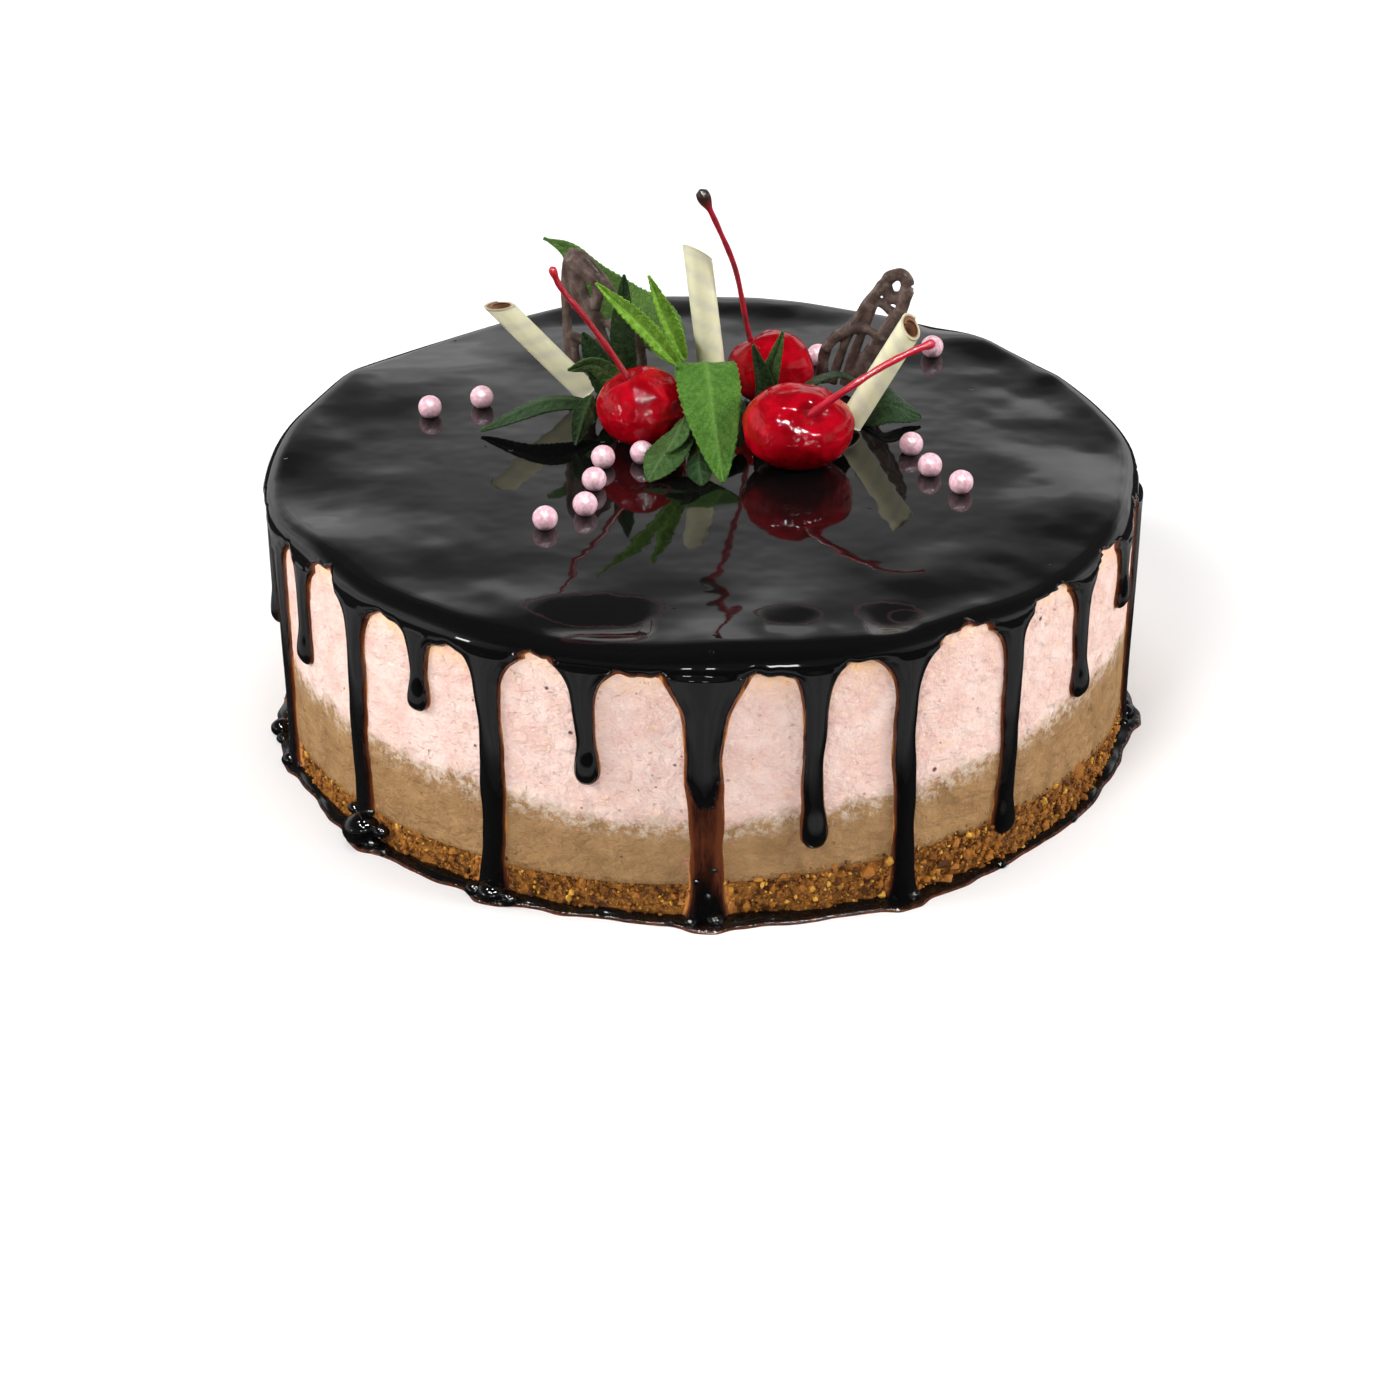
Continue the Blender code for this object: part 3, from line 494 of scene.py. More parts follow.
class Look(Wiring):
    """A material round one Principled shader."""

    def __init__(self, name, **settings):
        self.material = bpy.data.materials.new(name)
        self.material.use_nodes = True
        super().__init__(self.material.node_tree, "Object")
        self.shader = self.tree.nodes["Principled BSDF"]
        for key, value in settings.items():
            self.put(self.shader.inputs[key.replace("_", " ").title().replace("Ior", "IOR")], value)

    def finish(self, colour, roughness=None, normal=None):
        for key, value in (("Base Color", colour), ("Roughness", roughness), ("Normal", normal)):
            if value is not None:
                self.put(self.shader.inputs[key], value)
        return self.material


def glaze_look():
    """Black where it is thick, dark red where it is thinner, and amber at its thinnest edges."""
    look = Look("chocolate_glaze", ior=1.5)
    streaks = look.math("SUBTRACT", look.noise(2.0, 4, 0.7, (1, 1, 0.16)), 0.47)
    cover = look.math("ADD", look.number("cover"), look.math("MULTIPLY", streaks, 1.5))
    colour = look.over((0.50, 0.20, 0.05), cover, -0.15, 0.22, (0.105, 0.030, 0.012))
    colour = look.over(colour, cover, 0.25, 0.85, (0.030, 0.0085, 0.005))
    colour = look.over(colour, cover, 0.6, 1.30, (0.003, 0.003, 0.003))
    marks = 0.0
    for mark in GLAZE_MARKS:
        marks = look.math("MAXIMUM", marks, look.ring(*mark))
    colour = look.mix(look.math("MULTIPLY", marks, 0.8), colour, (0.014, 0.002, 0.003))
    thin = look.steps(look.number("cover"), 1.6, 0.8)
    runs = look.math("MULTIPLY", look.noise(2.6, 3, 0.6, (1, 1, 0.22)), thin)
    ripple = look.bump(runs, 0.7, look.bump(look.noise(15, 2.0), 0.15))
    dimples = look.bump(look.spots(9.0, 0.6, 0.4), -0.16, ripple)
    return look.finish(colour, look.math("ADD", look.math("MULTIPLY", marks, 0.4), 0.04), dimples)


def mousse_look():
    """Both mousses: chocolate below the boundary and berry above it, smeared into each other by the ring."""
    look = Look("mousse", roughness=0.5, ior=1.4, subsurface_weight=0.12, subsurface_scale=0.002,
                subsurface_radius=(1.0, 0.55, 0.4))
    above, over_crumb, glow = look.number("above"), look.number("over_crumb"), look.number("glow")
    ragged = look.math("ADD", look.math("MULTIPLY", look.noise(11, 4, 0.7), 9.0),
                       look.math("MULTIPLY", look.noise(2.2, 4, 0.75), 5.0))
    height = look.math("SUBTRACT", look.math("ADD", above, ragged), 7.0)
    berry_share = look.steps(height, -1.8, 1.8)
    blotch = look.noise(7, 3)
    fine = look.noise(1.1, 3, 0.65, (1, 1, 2.2))
    streak = look.noise(4, 5, 0.72, (1, 1, 1.6), 0.5)
    berry = look.over((0.75, 0.500, 0.435), blotch, 0.35, 0.7, (0.82, 0.615, 0.550))
    berry = look.over(berry, streak, 0.54, 0.66, (0.85, 0.585, 0.40), 0.5)
    berry = look.over(berry, fine, 0.56, 0.70, (0.88, 0.74, 0.66), 0.7)
    berry = look.over(berry, look.noise(2.3, 2), 0.60, 0.72, (0.72, 0.38, 0.35), 0.5)
    # Painted light: a warm peach glow painted into the berry mousse just below the glaze's edge.
    warm = look.math("MULTIPLY", glow, look.steps(look.noise(2.6, 4, 0.7), 0.40, 0.58, 0.35, 1.0))
    berry = look.mix(warm, berry, (0.92, 0.55, 0.26))
    cocoa = look.over((0.27, 0.147, 0.057), blotch, 0.3, 0.7, (0.350, 0.200, 0.081))
    cocoa = look.over(cocoa, streak, 0.50, 0.70, (0.47, 0.30, 0.15), 0.35)
    colour = look.mix(berry_share, cocoa, berry)
    haze = look.math("MULTIPLY", look.steps(look.noise(2.4, 4, 0.8), 0.44, 0.60),
                     look.steps(look.math("ABSOLUTE", look.math("ADD", height, 0.8)), 5.0, 0.6, 0.0, 0.75))
    colour = look.mix(haze, colour, (0.62, 0.50, 0.40))
    crumbs = look.math("ADD", over_crumb, look.math("MULTIPLY", look.noise(1.5, 3, 0.7), -5.0))
    colour = look.over(colour, crumbs, -1.2, -2.4, (0.20, 0.10, 0.03), 0.75)
    # Painted shade: dark spots in the same cells as the larger pits of the bump, darkening their hollows.
    colour = look.mix(look.spots(7.0, 0.55, 0.5), colour, (0.16, 0.08, 0.10))
    colour = look.mix(look.spots(5.5, 0.4, 0.4, 0.5), colour, (0.50, 0.15, 0.13))
    colour = look.over(colour, look.noise(2.6, 3, 0.65, (1, 1, 1.8)), 0.64, 0.70, (0.52, 0.22, 0.18), 0.6)
    smears = look.bump(look.noise(4.5, 5, 0.58, (1, 1, 1.4), 0.3), 2.2)
    grain = look.bump(look.noise(0.9, 3, 0.7), 0.22, smears)
    pits = look.math("ADD", look.spots(3.2, 0.38, 0.4, 0.2), look.spots(7.0, 0.6, 0.5))
    return look.finish(colour, normal=look.bump(look.math("MULTIPLY", pits, -1.0), 0.9, grain))


def crumb_look():
    look = Look("crumb", ior=1.45, specular_ior_level=0.35)
    colour = look.over((0.095, 0.030, 0.006), look.noise(2.0, 4, 0.75), 0.38, 0.60, (0.35, 0.135, 0.022))
    # Partly lighter crumbs and partly painted glints: fine golden specks.
    colour = look.over(colour, look.noise(0.7, 3, 0.7), 0.55, 0.72, (0.58, 0.29, 0.055))
    colour = look.mix(look.spots(3.4, 0.5, 0.3), colour, (0.04, 0.014, 0.006))
    colour = look.over(colour, look.noise(6, 3, 0.6), 0.56, 0.64, (0.06, 0.020, 0.008), 0.7)
    roughness = look.steps(look.noise(1.0, 2), 0.5, 0.65, 0.75, 0.2)
    return look.finish(colour, roughness, look.bump(look.noise(0.6, 4, 0.75), 0.5))


def grain_look():
    look = Look("crumb_grains", roughness=0.35, ior=1.45, specular_ior_level=0.35)
    kind = look.number("kind")
    colour = look.over((0.070, 0.022, 0.006), kind, 0.0, 0.5, (0.32, 0.120, 0.020))
    # Partly lighter grains and partly painted glints: the golden grains.
    colour = look.over(colour, kind, 0.75, 1.0, (0.66, 0.36, 0.055))
    return look.finish(colour, normal=look.bump(look.noise(0.5, 2), 0.15))


def cherry_look():
    look = Look("cherry", roughness=0.35, ior=1.4, specular_ior_level=0.0, subsurface_weight=0.25,
                subsurface_scale=0.003, subsurface_radius=(1.0, 0.10, 0.08), coat_weight=1.0,
                coat_roughness=0.01, coat_ior=1.35)
    colour = look.over((0.24, 0.0006, 0.004), look.noise(5, 3), 0.35, 0.7, (0.43, 0.0015, 0.010))
    folds = look.bump(look.noise(3.4, 1), 0.35)
    wet = look.bump(look.noise(2.4, 1, 0.5, distortion=1.5), 0.16, look.bump(look.noise(3.4, 1), 0.16))
    look.put(look.shader.inputs["Coat Normal"], wet)
    return look.finish(colour, normal=folds)


def stem_look(name, colours, knob):
    look = Look("stem_" + name, roughness=0.28, ior=1.45, coat_weight=0.4, coat_roughness=0.1)
    colour = look.over(colours[0], look.noise(2.5, 3), 0.4, 0.65, colours[1])
    colour = look.mix(look.number("end"), colour, knob)
    return look.finish(colour, normal=look.bump(look.noise(0.8, 3), 0.10))


def white_look():
    look = Look("white_chocolate", roughness=0.36, ior=1.45, subsurface_weight=0.15, subsurface_scale=0.0015,
                subsurface_radius=(1.0, 0.8, 0.4))
    colour = look.mix(look.number("stripe"), (0.71, 0.68, 0.45), (0.62, 0.595, 0.44))
    colour = look.over(colour, look.noise(3, 2), 0.5, 0.8, (0.80, 0.77, 0.60), 0.4)
    # Painted shade: the inner face and the inner turns of the roll are painted brown.
    colour = look.mix(look.number("inside"), colour, (0.20, 0.088, 0.040))
    return look.finish(colour, normal=look.bump(look.noise(1.0, 3, 0.6), 0.05))


def dark_look():
    look = Look("dark_chocolate", ior=1.5)
    colour = look.over((0.070, 0.045, 0.038), look.noise(3, 3), 0.35, 0.7, (0.160, 0.112, 0.096))
    roughness = look.steps(look.noise(3, 2), 0.3, 0.7, 0.16, 0.30)
    return look.finish(colour, roughness, look.bump(look.noise(3.0, 2, 0.5), 0.35))


GREENS = {
    "fresh": ((0.055, 0.150, 0.020), (0.095, 0.215, 0.032), (0.135, 0.270, 0.055)),
    "mild": ((0.075, 0.160, 0.034), (0.115, 0.215, 0.048), (0.165, 0.280, 0.085)),
    "bright": ((0.120, 0.270, 0.022), (0.200, 0.390, 0.036), (0.330, 0.530, 0.100)),
    "dull": ((0.040, 0.088, 0.024), (0.062, 0.125, 0.034), (0.095, 0.165, 0.056)),
    "dark": ((0.014, 0.036, 0.012), (0.026, 0.058, 0.019), (0.048, 0.088, 0.034)),
}


def leaf_look(green):
    deep, middle, vein = GREENS[green]
    look = Look("mint_" + green, roughness=0.42, ior=1.4, subsurface_weight=0.15, subsurface_scale=0.0008,
                subsurface_radius=(0.5, 1.0, 0.2))
    colour = look.over(deep, look.noise(3.0, 3), 0.35, 0.7, middle)
    colour = look.over(colour, look.noise(0.8, 3, 0.7), 0.52, 0.66, vein, 0.3)
    cells = {"Vector": look.place, "Scale": 1 / (1.3 * MM)}
    net = look.node("TexVoronoi", cells, feature="DISTANCE_TO_EDGE").outputs["Distance"]
    net = look.steps(net, 0.0, 0.16)
    # Painted shade: the net of fine creases, which the bump below sinks, is painted darker.
    colour = look.over(colour, net, 1.0, 0.0, tuple(0.6 * value for value in deep), 0.4)
    colour = look.mix(look.number("vein"), colour, vein)
    return look.finish(colour, normal=look.bump(net, 0.10, look.bump(look.noise(0.6, 3), 0.10)))


def pearl_look():
    look = Look("sugar_pearl", roughness=0.28, ior=1.5, coat_weight=0.5, coat_roughness=0.12)
    colour = look.over((0.78, 0.42, 0.50), look.noise(0.9, 3, 0.6), 0.4, 0.65, (0.92, 0.66, 0.71))
    return look.finish(colour, normal=look.bump(look.noise(1.1, 3, 0.6), 0.05))


# ---------------------------------------------------------------- the glaze

FUNNEL_HEIGHT = 57.0           # where a drip starts to widen into the rim
ARCH_FOOT = 53.5               # how low the arches between the drips come down at each drip
CREST_HEIGHT = 59.8            # of the arches behind
DRIP_SPAN = 9                  # degrees from its middle line in which a drip can lie
DRIP_BLEND = 0.6               # how wide the fillet is between a drip and the rim


def glaze_piece(name, points, faces, look, cover):
    in_frame(made_object(name, points, faces, look, {"cover": cover}), "glaze", "chocolate_glaze")


def smooth_max(a, b, width):
    share = np.clip(0.5 + 0.5 * (a - b) / width, 0.0, 1.0)
    return b + (a - b) * share + width * share * (1 - share)


def crest_after(index):
    """How high the bare side reaches in the gap after a drip."""
    return CRESTS.get(DRIPS[index][0], CREST_HEIGHT + 1.4 * math.sin(2.1 * index))


def skirt_edge(angle):
    """Height of the glaze's lower edge between the drips: arches that come down at each drip."""
    angle = wrapped(np.asarray(angle, float))
    starts = np.array([drip[0] for drip in DRIPS])
    index = (np.searchsorted(starts, angle, side="right") - 1) % len(DRIPS)
    begin = starts[index]
    length = (starts[(index + 1) % len(DRIPS)] - begin) % 360
    share = ((angle - begin) % 360) / length
    crest = np.array([crest_after(i) for i in range(len(DRIPS))])[index]
    arch = np.abs(2 * share - 1) ** 3.2
    ragged = 0.35 * np.sin(1.15 * angle + 1) + 0.25 * np.sin(2.3 * angle)
    return crest - (crest - ARCH_FOOT) * arch + ragged * (1 - arch)


def drip_form(drip, z):
    """A drip's middle line across, half width and depth at heights z; the depth is below 0 under its end."""
    angle, low, neck, drop = drip
    centre = angle == CENTRE_DRIP
    across = 0.35 * np.sin(z / 9 + angle) + 0.14 * np.sin(z / 3.6 + 2 * angle)
    flare, reach = (4.1, 7.6) if centre else (0.35 * neck, 3.0)
    half = neck / 2 + flare * np.exp(-np.maximum(FUNNEL_HEIGHT - z, -3.0) / reach)
    half = half * (1 + 0.06 * np.sin(z / 4.3 + 3 * angle) + 0.03 * np.sin(z / 1.7 + angle))
    if low == 0:
        foot = np.exp(-z / 2.5)
        half = half + (0.8 * drop - neck / 2) * foot
        if centre:
            depth = FILM_DEPTH + 0.5 * smooth_step(16, 5, z)
        else:
            depth = LOW_DEPTH + (NECK_DEPTH - LOW_DEPTH) * smooth_step(14, 44, z)
        return across, half, depth + foot
    blob = 0.55 * drop
    middle = low + blob
    share = smooth_step(middle + 7, middle, z)
    half = half + (drop / 2 - half) * share
    depth = NECK_DEPTH + (DROP_DEPTH - NECK_DEPTH) * share
    round_ = np.sqrt(np.clip(1 - (np.maximum(middle - z, 0) / blob) ** 2, 0.004, 1))
    return across, half * round_, np.where(z < low, z - low, depth * round_)


def drip_cover(drip, share, z):
    """How far a drip stands out from the side; share is the distance from its middle line in half widths."""
    _, half, depth = drip_form(drip, z)
    away = np.abs(share)
    body = np.maximum(depth, 0) * np.sqrt(1 - np.minimum(away / 0.93, 1) ** 2.8)
    edge = FOOT_DEPTH * np.sqrt(1 - np.minimum(away, 1) ** 6)
    cover = np.where(away < 1, np.maximum(body, edge), (1 - away) * half)
    if drip[0] == CENTRE_DRIP:
        wedge = 0.92 * np.clip((z - 27) / 8.5, 0.02, 1) ** 0.55
        thick = 2.0 * np.sqrt(1 - np.minimum(away / wedge, 1) ** 2.4) * smooth_step(27, 30, z)
        cover = np.where(away < wedge, np.maximum(cover, thick), cover)
    return np.where(depth < 0, depth, cover)


DRIP_SHARES = [0.0, 0.35, 0.6, 0.76, 0.86, 0.925, 0.965, 1.0, 1.1]
COLUMN_STEP = 1.35             # between the drips


def glaze_columns():
    """For each column of the glaze, the drip it belongs to or follows, its place in that drip or in the
    gap after it, and how low it runs."""
    shares = [-share for share in DRIP_SHARES[:0:-1]] + DRIP_SHARES
    columns = []
    for index, (angle, low, _, _) in enumerate(DRIPS):
        after = DRIPS[(index + 1) % len(DRIPS)]
        bottom, next_bottom = [each - 1.0 if each else 0.02 for each in (low, after[1])]
        columns += [(index, share, 0.0, bottom) for share in shares]
        gap = math.radians((after[0] - angle) % 360) * CAKE_RADIUS - 6
        count = max(4, round(gap / COLUMN_STEP))
        fall = next_bottom - bottom
        columns += [(index, 0.0, k / count, bottom + fall * k / count) for k in range(1, count)]
    return np.array(columns)


def glaze_angles(columns, z):
    """The angle of each column at heights z, where the columns follow the drips' own edges."""
    angle = np.empty(z.shape)
    index = columns[:, 0].astype(int)
    last = DRIP_SHARES[-1]
    edges = []
    for each, drip in enumerate(DRIPS):
        across, half, _ = drip_form(drip, z)
        edges.append([drip[0] + np.degrees((across + side * last * half) / CAKE_RADIUS) for side in (-1, 1)])
        own = (index == each) & (columns[:, 2] == 0)
        out = across[:, own] + columns[own, 1] * half[:, own]
        angle[:, own] = drip[0] + np.degrees(out / CAKE_RADIUS)
    for each in range(len(DRIPS)):
        own = (index == each) & (columns[:, 2] > 0)
        start = edges[each][1][:, own]
        length = (edges[(each + 1) % len(DRIPS)][0][:, own] - start) % 360
        angle[:, own] = start + length * columns[own, 2]
    return angle


def side_cover(angle, z):
    """Thickness of the glaze over the side, below 0 where the side is bare."""
    thick = glaze_outline(angle) - CAKE_RADIUS
    up = (z - skirt_edge(angle)) / LIP
    cover = np.where(up > 0, thick * np.sqrt(1 - (1 - np.clip(up, 0, 1)) ** 2), up * LIP)
    for drip in DRIPS:
        near = np.abs(wrapped(angle[0] - drip[0])) < DRIP_SPAN
        across, half, _ = drip_form(drip, z[:, near])
        share = (arc(angle[:, near] - drip[0]) - across) / half
        cover[:, near] = smooth_max(cover[:, near], drip_cover(drip, share, z[:, near]), DRIP_BLEND)
    return cover


# Sunken lenses near the front rim: middle, half sizes and slope. The glaze has set there in a tilted skin.
LENSES = [(-22.8, -79.4, 14.5, 6.3, 0.085), (17.6, -83.2, 6.6, 3.8, 0.05), (39.4, -80.8, 6.4, 5.0, 0.06)]
# Marks on the glaze: middle and half sizes of an oval, and how thick its raised edge is.
GLAZE_MARKS = [(-22.8, -79.4, 14.6, 6.5, 0.10), (-20.5, -92.0, 8.0, 2.0, 0.30),
               (17.6, -83.2, 6.8, 4.0, 0.14), (38.6, -80.8, 7.0, 5.0, 0.14),
               (42.0, -81.5, 3.6, 2.6, 0.24), (-9.9, -20.4, 2.3, 2.6, 0.22), (-8.6, -19.6, 1.2, 1.2, 0.3)]


def glaze_dents(x, y):
    """Ripples towards the rim, and the sunken lenses."""
    radius = np.hypot(x, y)
    flat = np.stack([x, y, 0 * x], -1)
    outer = smooth_step(52, 84, radius)
    relief = (0.30 * rough(flat, 16, 3) + 0.10 * rough(flat, 6.5, 8)) * outer + 0.06 * rough(flat, 22, 12)
    relief = relief + (0.5 + 0.8 * smooth_step(0, 60, y)) * rough(flat, 22, 15) * smooth_step(84, 98, radius)
    for cx, cy, wide, deep, slope in LENSES:
        across = np.abs(x - cx) / wide
        half = deep * np.sqrt(np.clip(1 - across ** 2, 0, 1))
        fall = slope * np.clip(cy + half - y, 0, 2 * half) * smooth_step(1.0, 0.6, across)
        relief = relief - fall * smooth_step(cy - 2.4 * deep, cy - 1.1 * deep, y)
    return relief


def build_glaze(look):
    """The sheet on top, the rolled rim, and the drips down the side as one shell round the bare arches."""
    columns = glaze_columns()
    calm = np.linspace(6.0, CALM_RADIUS, 8)
    radii = np.concatenate([calm, np.linspace(CALM_RADIUS, GLAZE_RADIUS - RIM_ROLL, 24)[1:]])
    turns = np.radians(np.arange(80, -1, -10.0))
    fall = np.arange(1, 53) / 52
    fall = fall - 0.6 * np.sin(2 * np.pi * fall) / (2 * np.pi)
    tops, rolls = len(radii), len(radii) + len(turns)
    rows = rolls + len(fall)

    z = np.full((rows, len(columns)), ROLL_LOW)
    z[rolls:] = ROLL_LOW - (ROLL_LOW - columns[:, 3]) * fall[:, None]
    angle = glaze_angles(columns, z)
    outline = glaze_outline(angle)
    radius = np.empty(angle.shape)
    share = smooth_step(CALM_RADIUS, GLAZE_RADIUS - RIM_ROLL, radii)[:, None]
    radius[:tops] = radii[:, None] * (1 + (outline[:tops] / GLAZE_RADIUS - 1) * share)
    radius[tops:rolls] = outline[tops:rolls] - RIM_ROLL + RIM_ROLL * np.cos(turns)[:, None]
    flat = on_side(angle[:rolls], radius[:rolls], 0)
    level = glaze_height(flat[..., 0], flat[..., 1]) + glaze_dents(flat[..., 0], flat[..., 1])
    z[:tops] = level[:tops]
    lift = (level[tops:rolls] - GLAZE_TOP) * np.sin(turns)[:, None] ** 2
    z[tops:rolls] = ROLL_LOW + RIM_ROLL * np.sin(turns)[:, None] + lift

    cover = np.full(angle.shape, 3.0)
    cover[tops:] = side_cover(angle[tops:], z[tops:])
    radius[rolls:] = CAKE_RADIUS + np.maximum(cover[rolls:], BARE)
    radius[tops:rolls] = np.minimum(radius[tops:rolls], CAKE_RADIUS + np.maximum(cover[tops:rolls], BARE))
    outer = on_side(angle, radius, z)

    under_radius = np.full(angle.shape, UNDER_RADIUS)
    under_z = z.copy()
    under_radius[:tops] = radius[:tops]
    under_z[:tops] = UNDER_HEIGHT
    inner_roll = outline[tops:rolls] - RIM_ROLL
    under_radius[tops:rolls] = inner_roll + (UNDER_RADIUS - inner_roll) * np.cos(turns)[:, None]
    under_z[tops:rolls] = ROLL_LOW + (UNDER_HEIGHT - ROLL_LOW) * np.sin(turns)[:, None]
    inner = on_side(angle, under_radius, under_z)

    faces = np.array(grid_faces(rows, len(columns)))
    faces = faces[(cover.ravel()[faces] > BARE).any(1)]
    under_faces = faces[faces.min(1) >= (tops - 1) * len(columns)]
    count = rows * len(columns)
    edges = np.concatenate([faces[:, [k, (k + 1) % 4]] for k in range(4)])
    first = np.arange(len(columns))
    last_top = first + (tops - 1) * len(columns)
    edges = np.concatenate([edges, np.stack([first, (first + 1) % len(columns)], 1)])
    forward, backward = edges[:, 0] * count + edges[:, 1], edges[:, 1] * count + edges[:, 0]
    rim = edges[~np.isin(forward, backward)]
    walls = np.stack([rim[:, 1], rim[:, 0], rim[:, 0] + count, rim[:, 1] + count], 1)
    shell = np.concatenate([faces, under_faces[:, ::-1] + count, walls])
    used, quads = np.unique(shell, return_inverse=True)
    centre = np.searchsorted(used, first)
    under_centre = np.searchsorted(used, last_top + count)
    points = np.concatenate([outer.reshape(-1, 3), inner.reshape(-1, 3)])[used]
    rimward = 3 * smooth_step(0.5, 3.5, z - skirt_edge(angle)) * (cover > 0)
    covers = np.tile((cover + rimward).ravel(), 2)[used]
    all_faces = quads.reshape(-1, 4).tolist() + [centre.tolist(), under_centre[::-1].tolist()]
    glaze_piece("glaze", points, all_faces, look, covers)


def build_pool(look):
    """The ring of glaze that has run down and set round the foot."""
    angles = np.arange(-180, 180, 0.5)
    shares = np.array([0.0, 0.2, 0.4, 0.58, 0.73, 0.85, 0.93, 0.98, 1.0])[:, None]
    reach = pool_reach(angles) + 0.35 * rough(on_side(angles, 30.0, 0), 1.3, 5)
    height = POOL_HEIGHT * (1.0 + 0.35 * rough(on_side(angles, 30.0, 0), 1.6, 9))
    radius = UNDER_RADIUS + (reach + CAKE_RADIUS - UNDER_RADIUS) * shares
    z = 0.03 + height * np.sqrt(1 - shares ** 2.6)
    radius = np.vstack([radius, np.full((1, len(angles)), UNDER_RADIUS)])
    z = np.vstack([z, np.full((1, len(angles)), 0.03)])
    faces = grid_faces(len(radius), len(angles), closed_rows=True)
    glaze_piece("glaze_pool", on_side(angles, radius, z), faces, look, np.clip(z * 1.3, 0, 3))


# Bubbles: angle, height and radius.
BUBBLES = [
    (-48.3, 6.6, 4.5), (-26.9, 3.8, 3.2), (-29.2, 2.0, 2.2), (-24.4, 2.2, 2.3), (-71.4, 2.6, 2.4),
    (-45.4, 6.0, 2.1), (-50.8, 7.6, 1.7), (-47.4, 9.0, 1.2), (-51.4, 3.6, 1.9), (-80.0, 2.4, 2.6),
    (-77.6, 1.4, 1.7), (-46.8, 2.6, 2.3), (-49.5, 1.6, 1.6), (-44.2, 1.0, 1.2), (-25.4, 2.0, 1.7),
    (-28.8, 1.3, 1.2), (1.4, 2.6, 2.0), (-1.6, 1.9, 1.6), (3.8, 1.4, 1.1), (-4.0, 1.3, 1.0),
    (26.6, 2.1, 1.6), (40.0, 1.6, 1.3), (55.0, 1.3, 1.1), (84.6, 2.6, 2.2), (87.0, 2.0, 1.7),
    (81.8, 1.4, 1.4), (25.0, 9.0, 1.1), (25.8, 12.2, 0.8), (24.6, 15.4, 0.9), (41.2, 10.8, 1.2),
    (40.4, 14.0, 1.0), (41.8, 16.4, 0.7), (0.6, 7.6, 1.0), (-0.9, 11.0, 0.9), (1.2, 13.8, 0.8),
]


def build_bubbles(look):
    """Bubbles caught in the pool and low in the drips."""
    rows, columns = 14, 20
    way = ball(rows, columns, 6)
    parts = []
    for index, (angle, height, size) in enumerate(BUBBLES):
        low = height < 3 or size > 2.5
        centre = on_side(angle, CAKE_RADIUS + (1.6 if low else 0.5), max(size * 0.55, height - size * 0.6))
        shape = way * size * (1 + 0.12 * rough(way + index, 1.1, 6))[..., None]
        shape[..., 2] *= 0.8
        points = centre + shape
        points[..., 2] = np.maximum(points[..., 2], 0.03)
        parts.append((points, turned_faces(rows, columns)))
    points, faces = merged(parts)
    glaze_piece("glaze_bubbles", points, faces, look, np.full(len(points), 1.4))


def build_menisci(look):
    """Where the glaze has crept up round the foot of each cherry."""
    turns = np.linspace(0, 2 * np.pi, 72, endpoint=False)
    steps = np.array([0.0, 0.15, 0.3, 0.5, 0.75, 1.0])[:, None]
    parts = []
    for (x, y), half, *_ in CHERRIES.values():
        seat = math.sqrt(1 - (1 - CHERRY_SEAT / half[2]) ** 2)
        out = seat + (1.9 + 0.5 * np.sin(3 * turns + x)) / half[0] * steps
        level = glaze_level(x, y)
        z = level - 0.15 + 1.15 * (1 - steps) ** 2.2 + 0 * turns
        ring = np.stack([x + half[0] * out * np.sin(turns), y - half[1] * out * np.cos(turns), z], -1)
        low = ring[::-1].copy()
        low[..., 2] = level - 0.6
        rows = np.concatenate([ring, low])
        parts.append((rows, grid_faces(len(rows), len(turns), closed_rows=True)))
    points, faces = merged(parts)
    glaze_piece("glaze_menisci", points, faces, look, np.full(len(points), 2.0))


# ---------------------------------------------------------------- the layers

COLUMNS = 1080                 # of points round a layer's side
LAP = 0.05                     # how far the layers reach past the boundaries between them


def layer(name, bottom, top, rows, relief, look, slot, values):
    """A disc between two heights whose side is a fine grid, moved in and out by a relief rule."""
    angles = np.linspace(-180, 180, COLUMNS, endpoint=False)
    share = np.linspace(0, 1, rows)[:, None]
    low, high = bottom(angles), top(angles)
    z = high + (low - high) * share
    side = on_side(angles, CAKE_RADIUS, z)
    radius = CAKE_RADIUS + relief(angles, side, z)
    side = on_side(angles, radius, z)
    caps = [on_side(angles, LEVEL_RADIUS, np.full(COLUMNS, level.mean())) for level in (high, low)]
    points = np.concatenate([caps[0][None], side, caps[1][None]])
    heights = points[..., 2]
    grid = np.broadcast_to(angles, heights.shape)
    made = made_object(name, points, turned_faces(rows + 2, COLUMNS), look,
                       {key: rule(grid, heights) for key, rule in values.items()})
    made.data.set_sharp_from_angle(angle=math.radians(60))
    in_frame(made, slot, name)


# The largest pits: angle, height and radius.
LARGE_PITS = [(62.6, 34.0, 1.7), (61.6, 31.2, 1.1), (61.0, 27.4, 1.2), (60.2, 23.4, 1.3), (59.4, 18.4, 1.0),
              (44.6, 56.4, 1.2), (47.4, 54.8, 0.9)]
SMALL_PITS = 420
PIT_HEIGHTS = (12, 62)


def beside_drip(angle, height, size):
    """Whether a pit would lay bare the edge of a drip, which lies just inside the mousse."""
    for drip in DRIPS:
        across, half, depth = drip_form(drip, np.array([height]))
        away = abs(arc(angle - drip[0]) - across[0])
        if depth[0] > -2.0 and away < half[0] + 1.6 * size + 1.2:
            return True
    return False


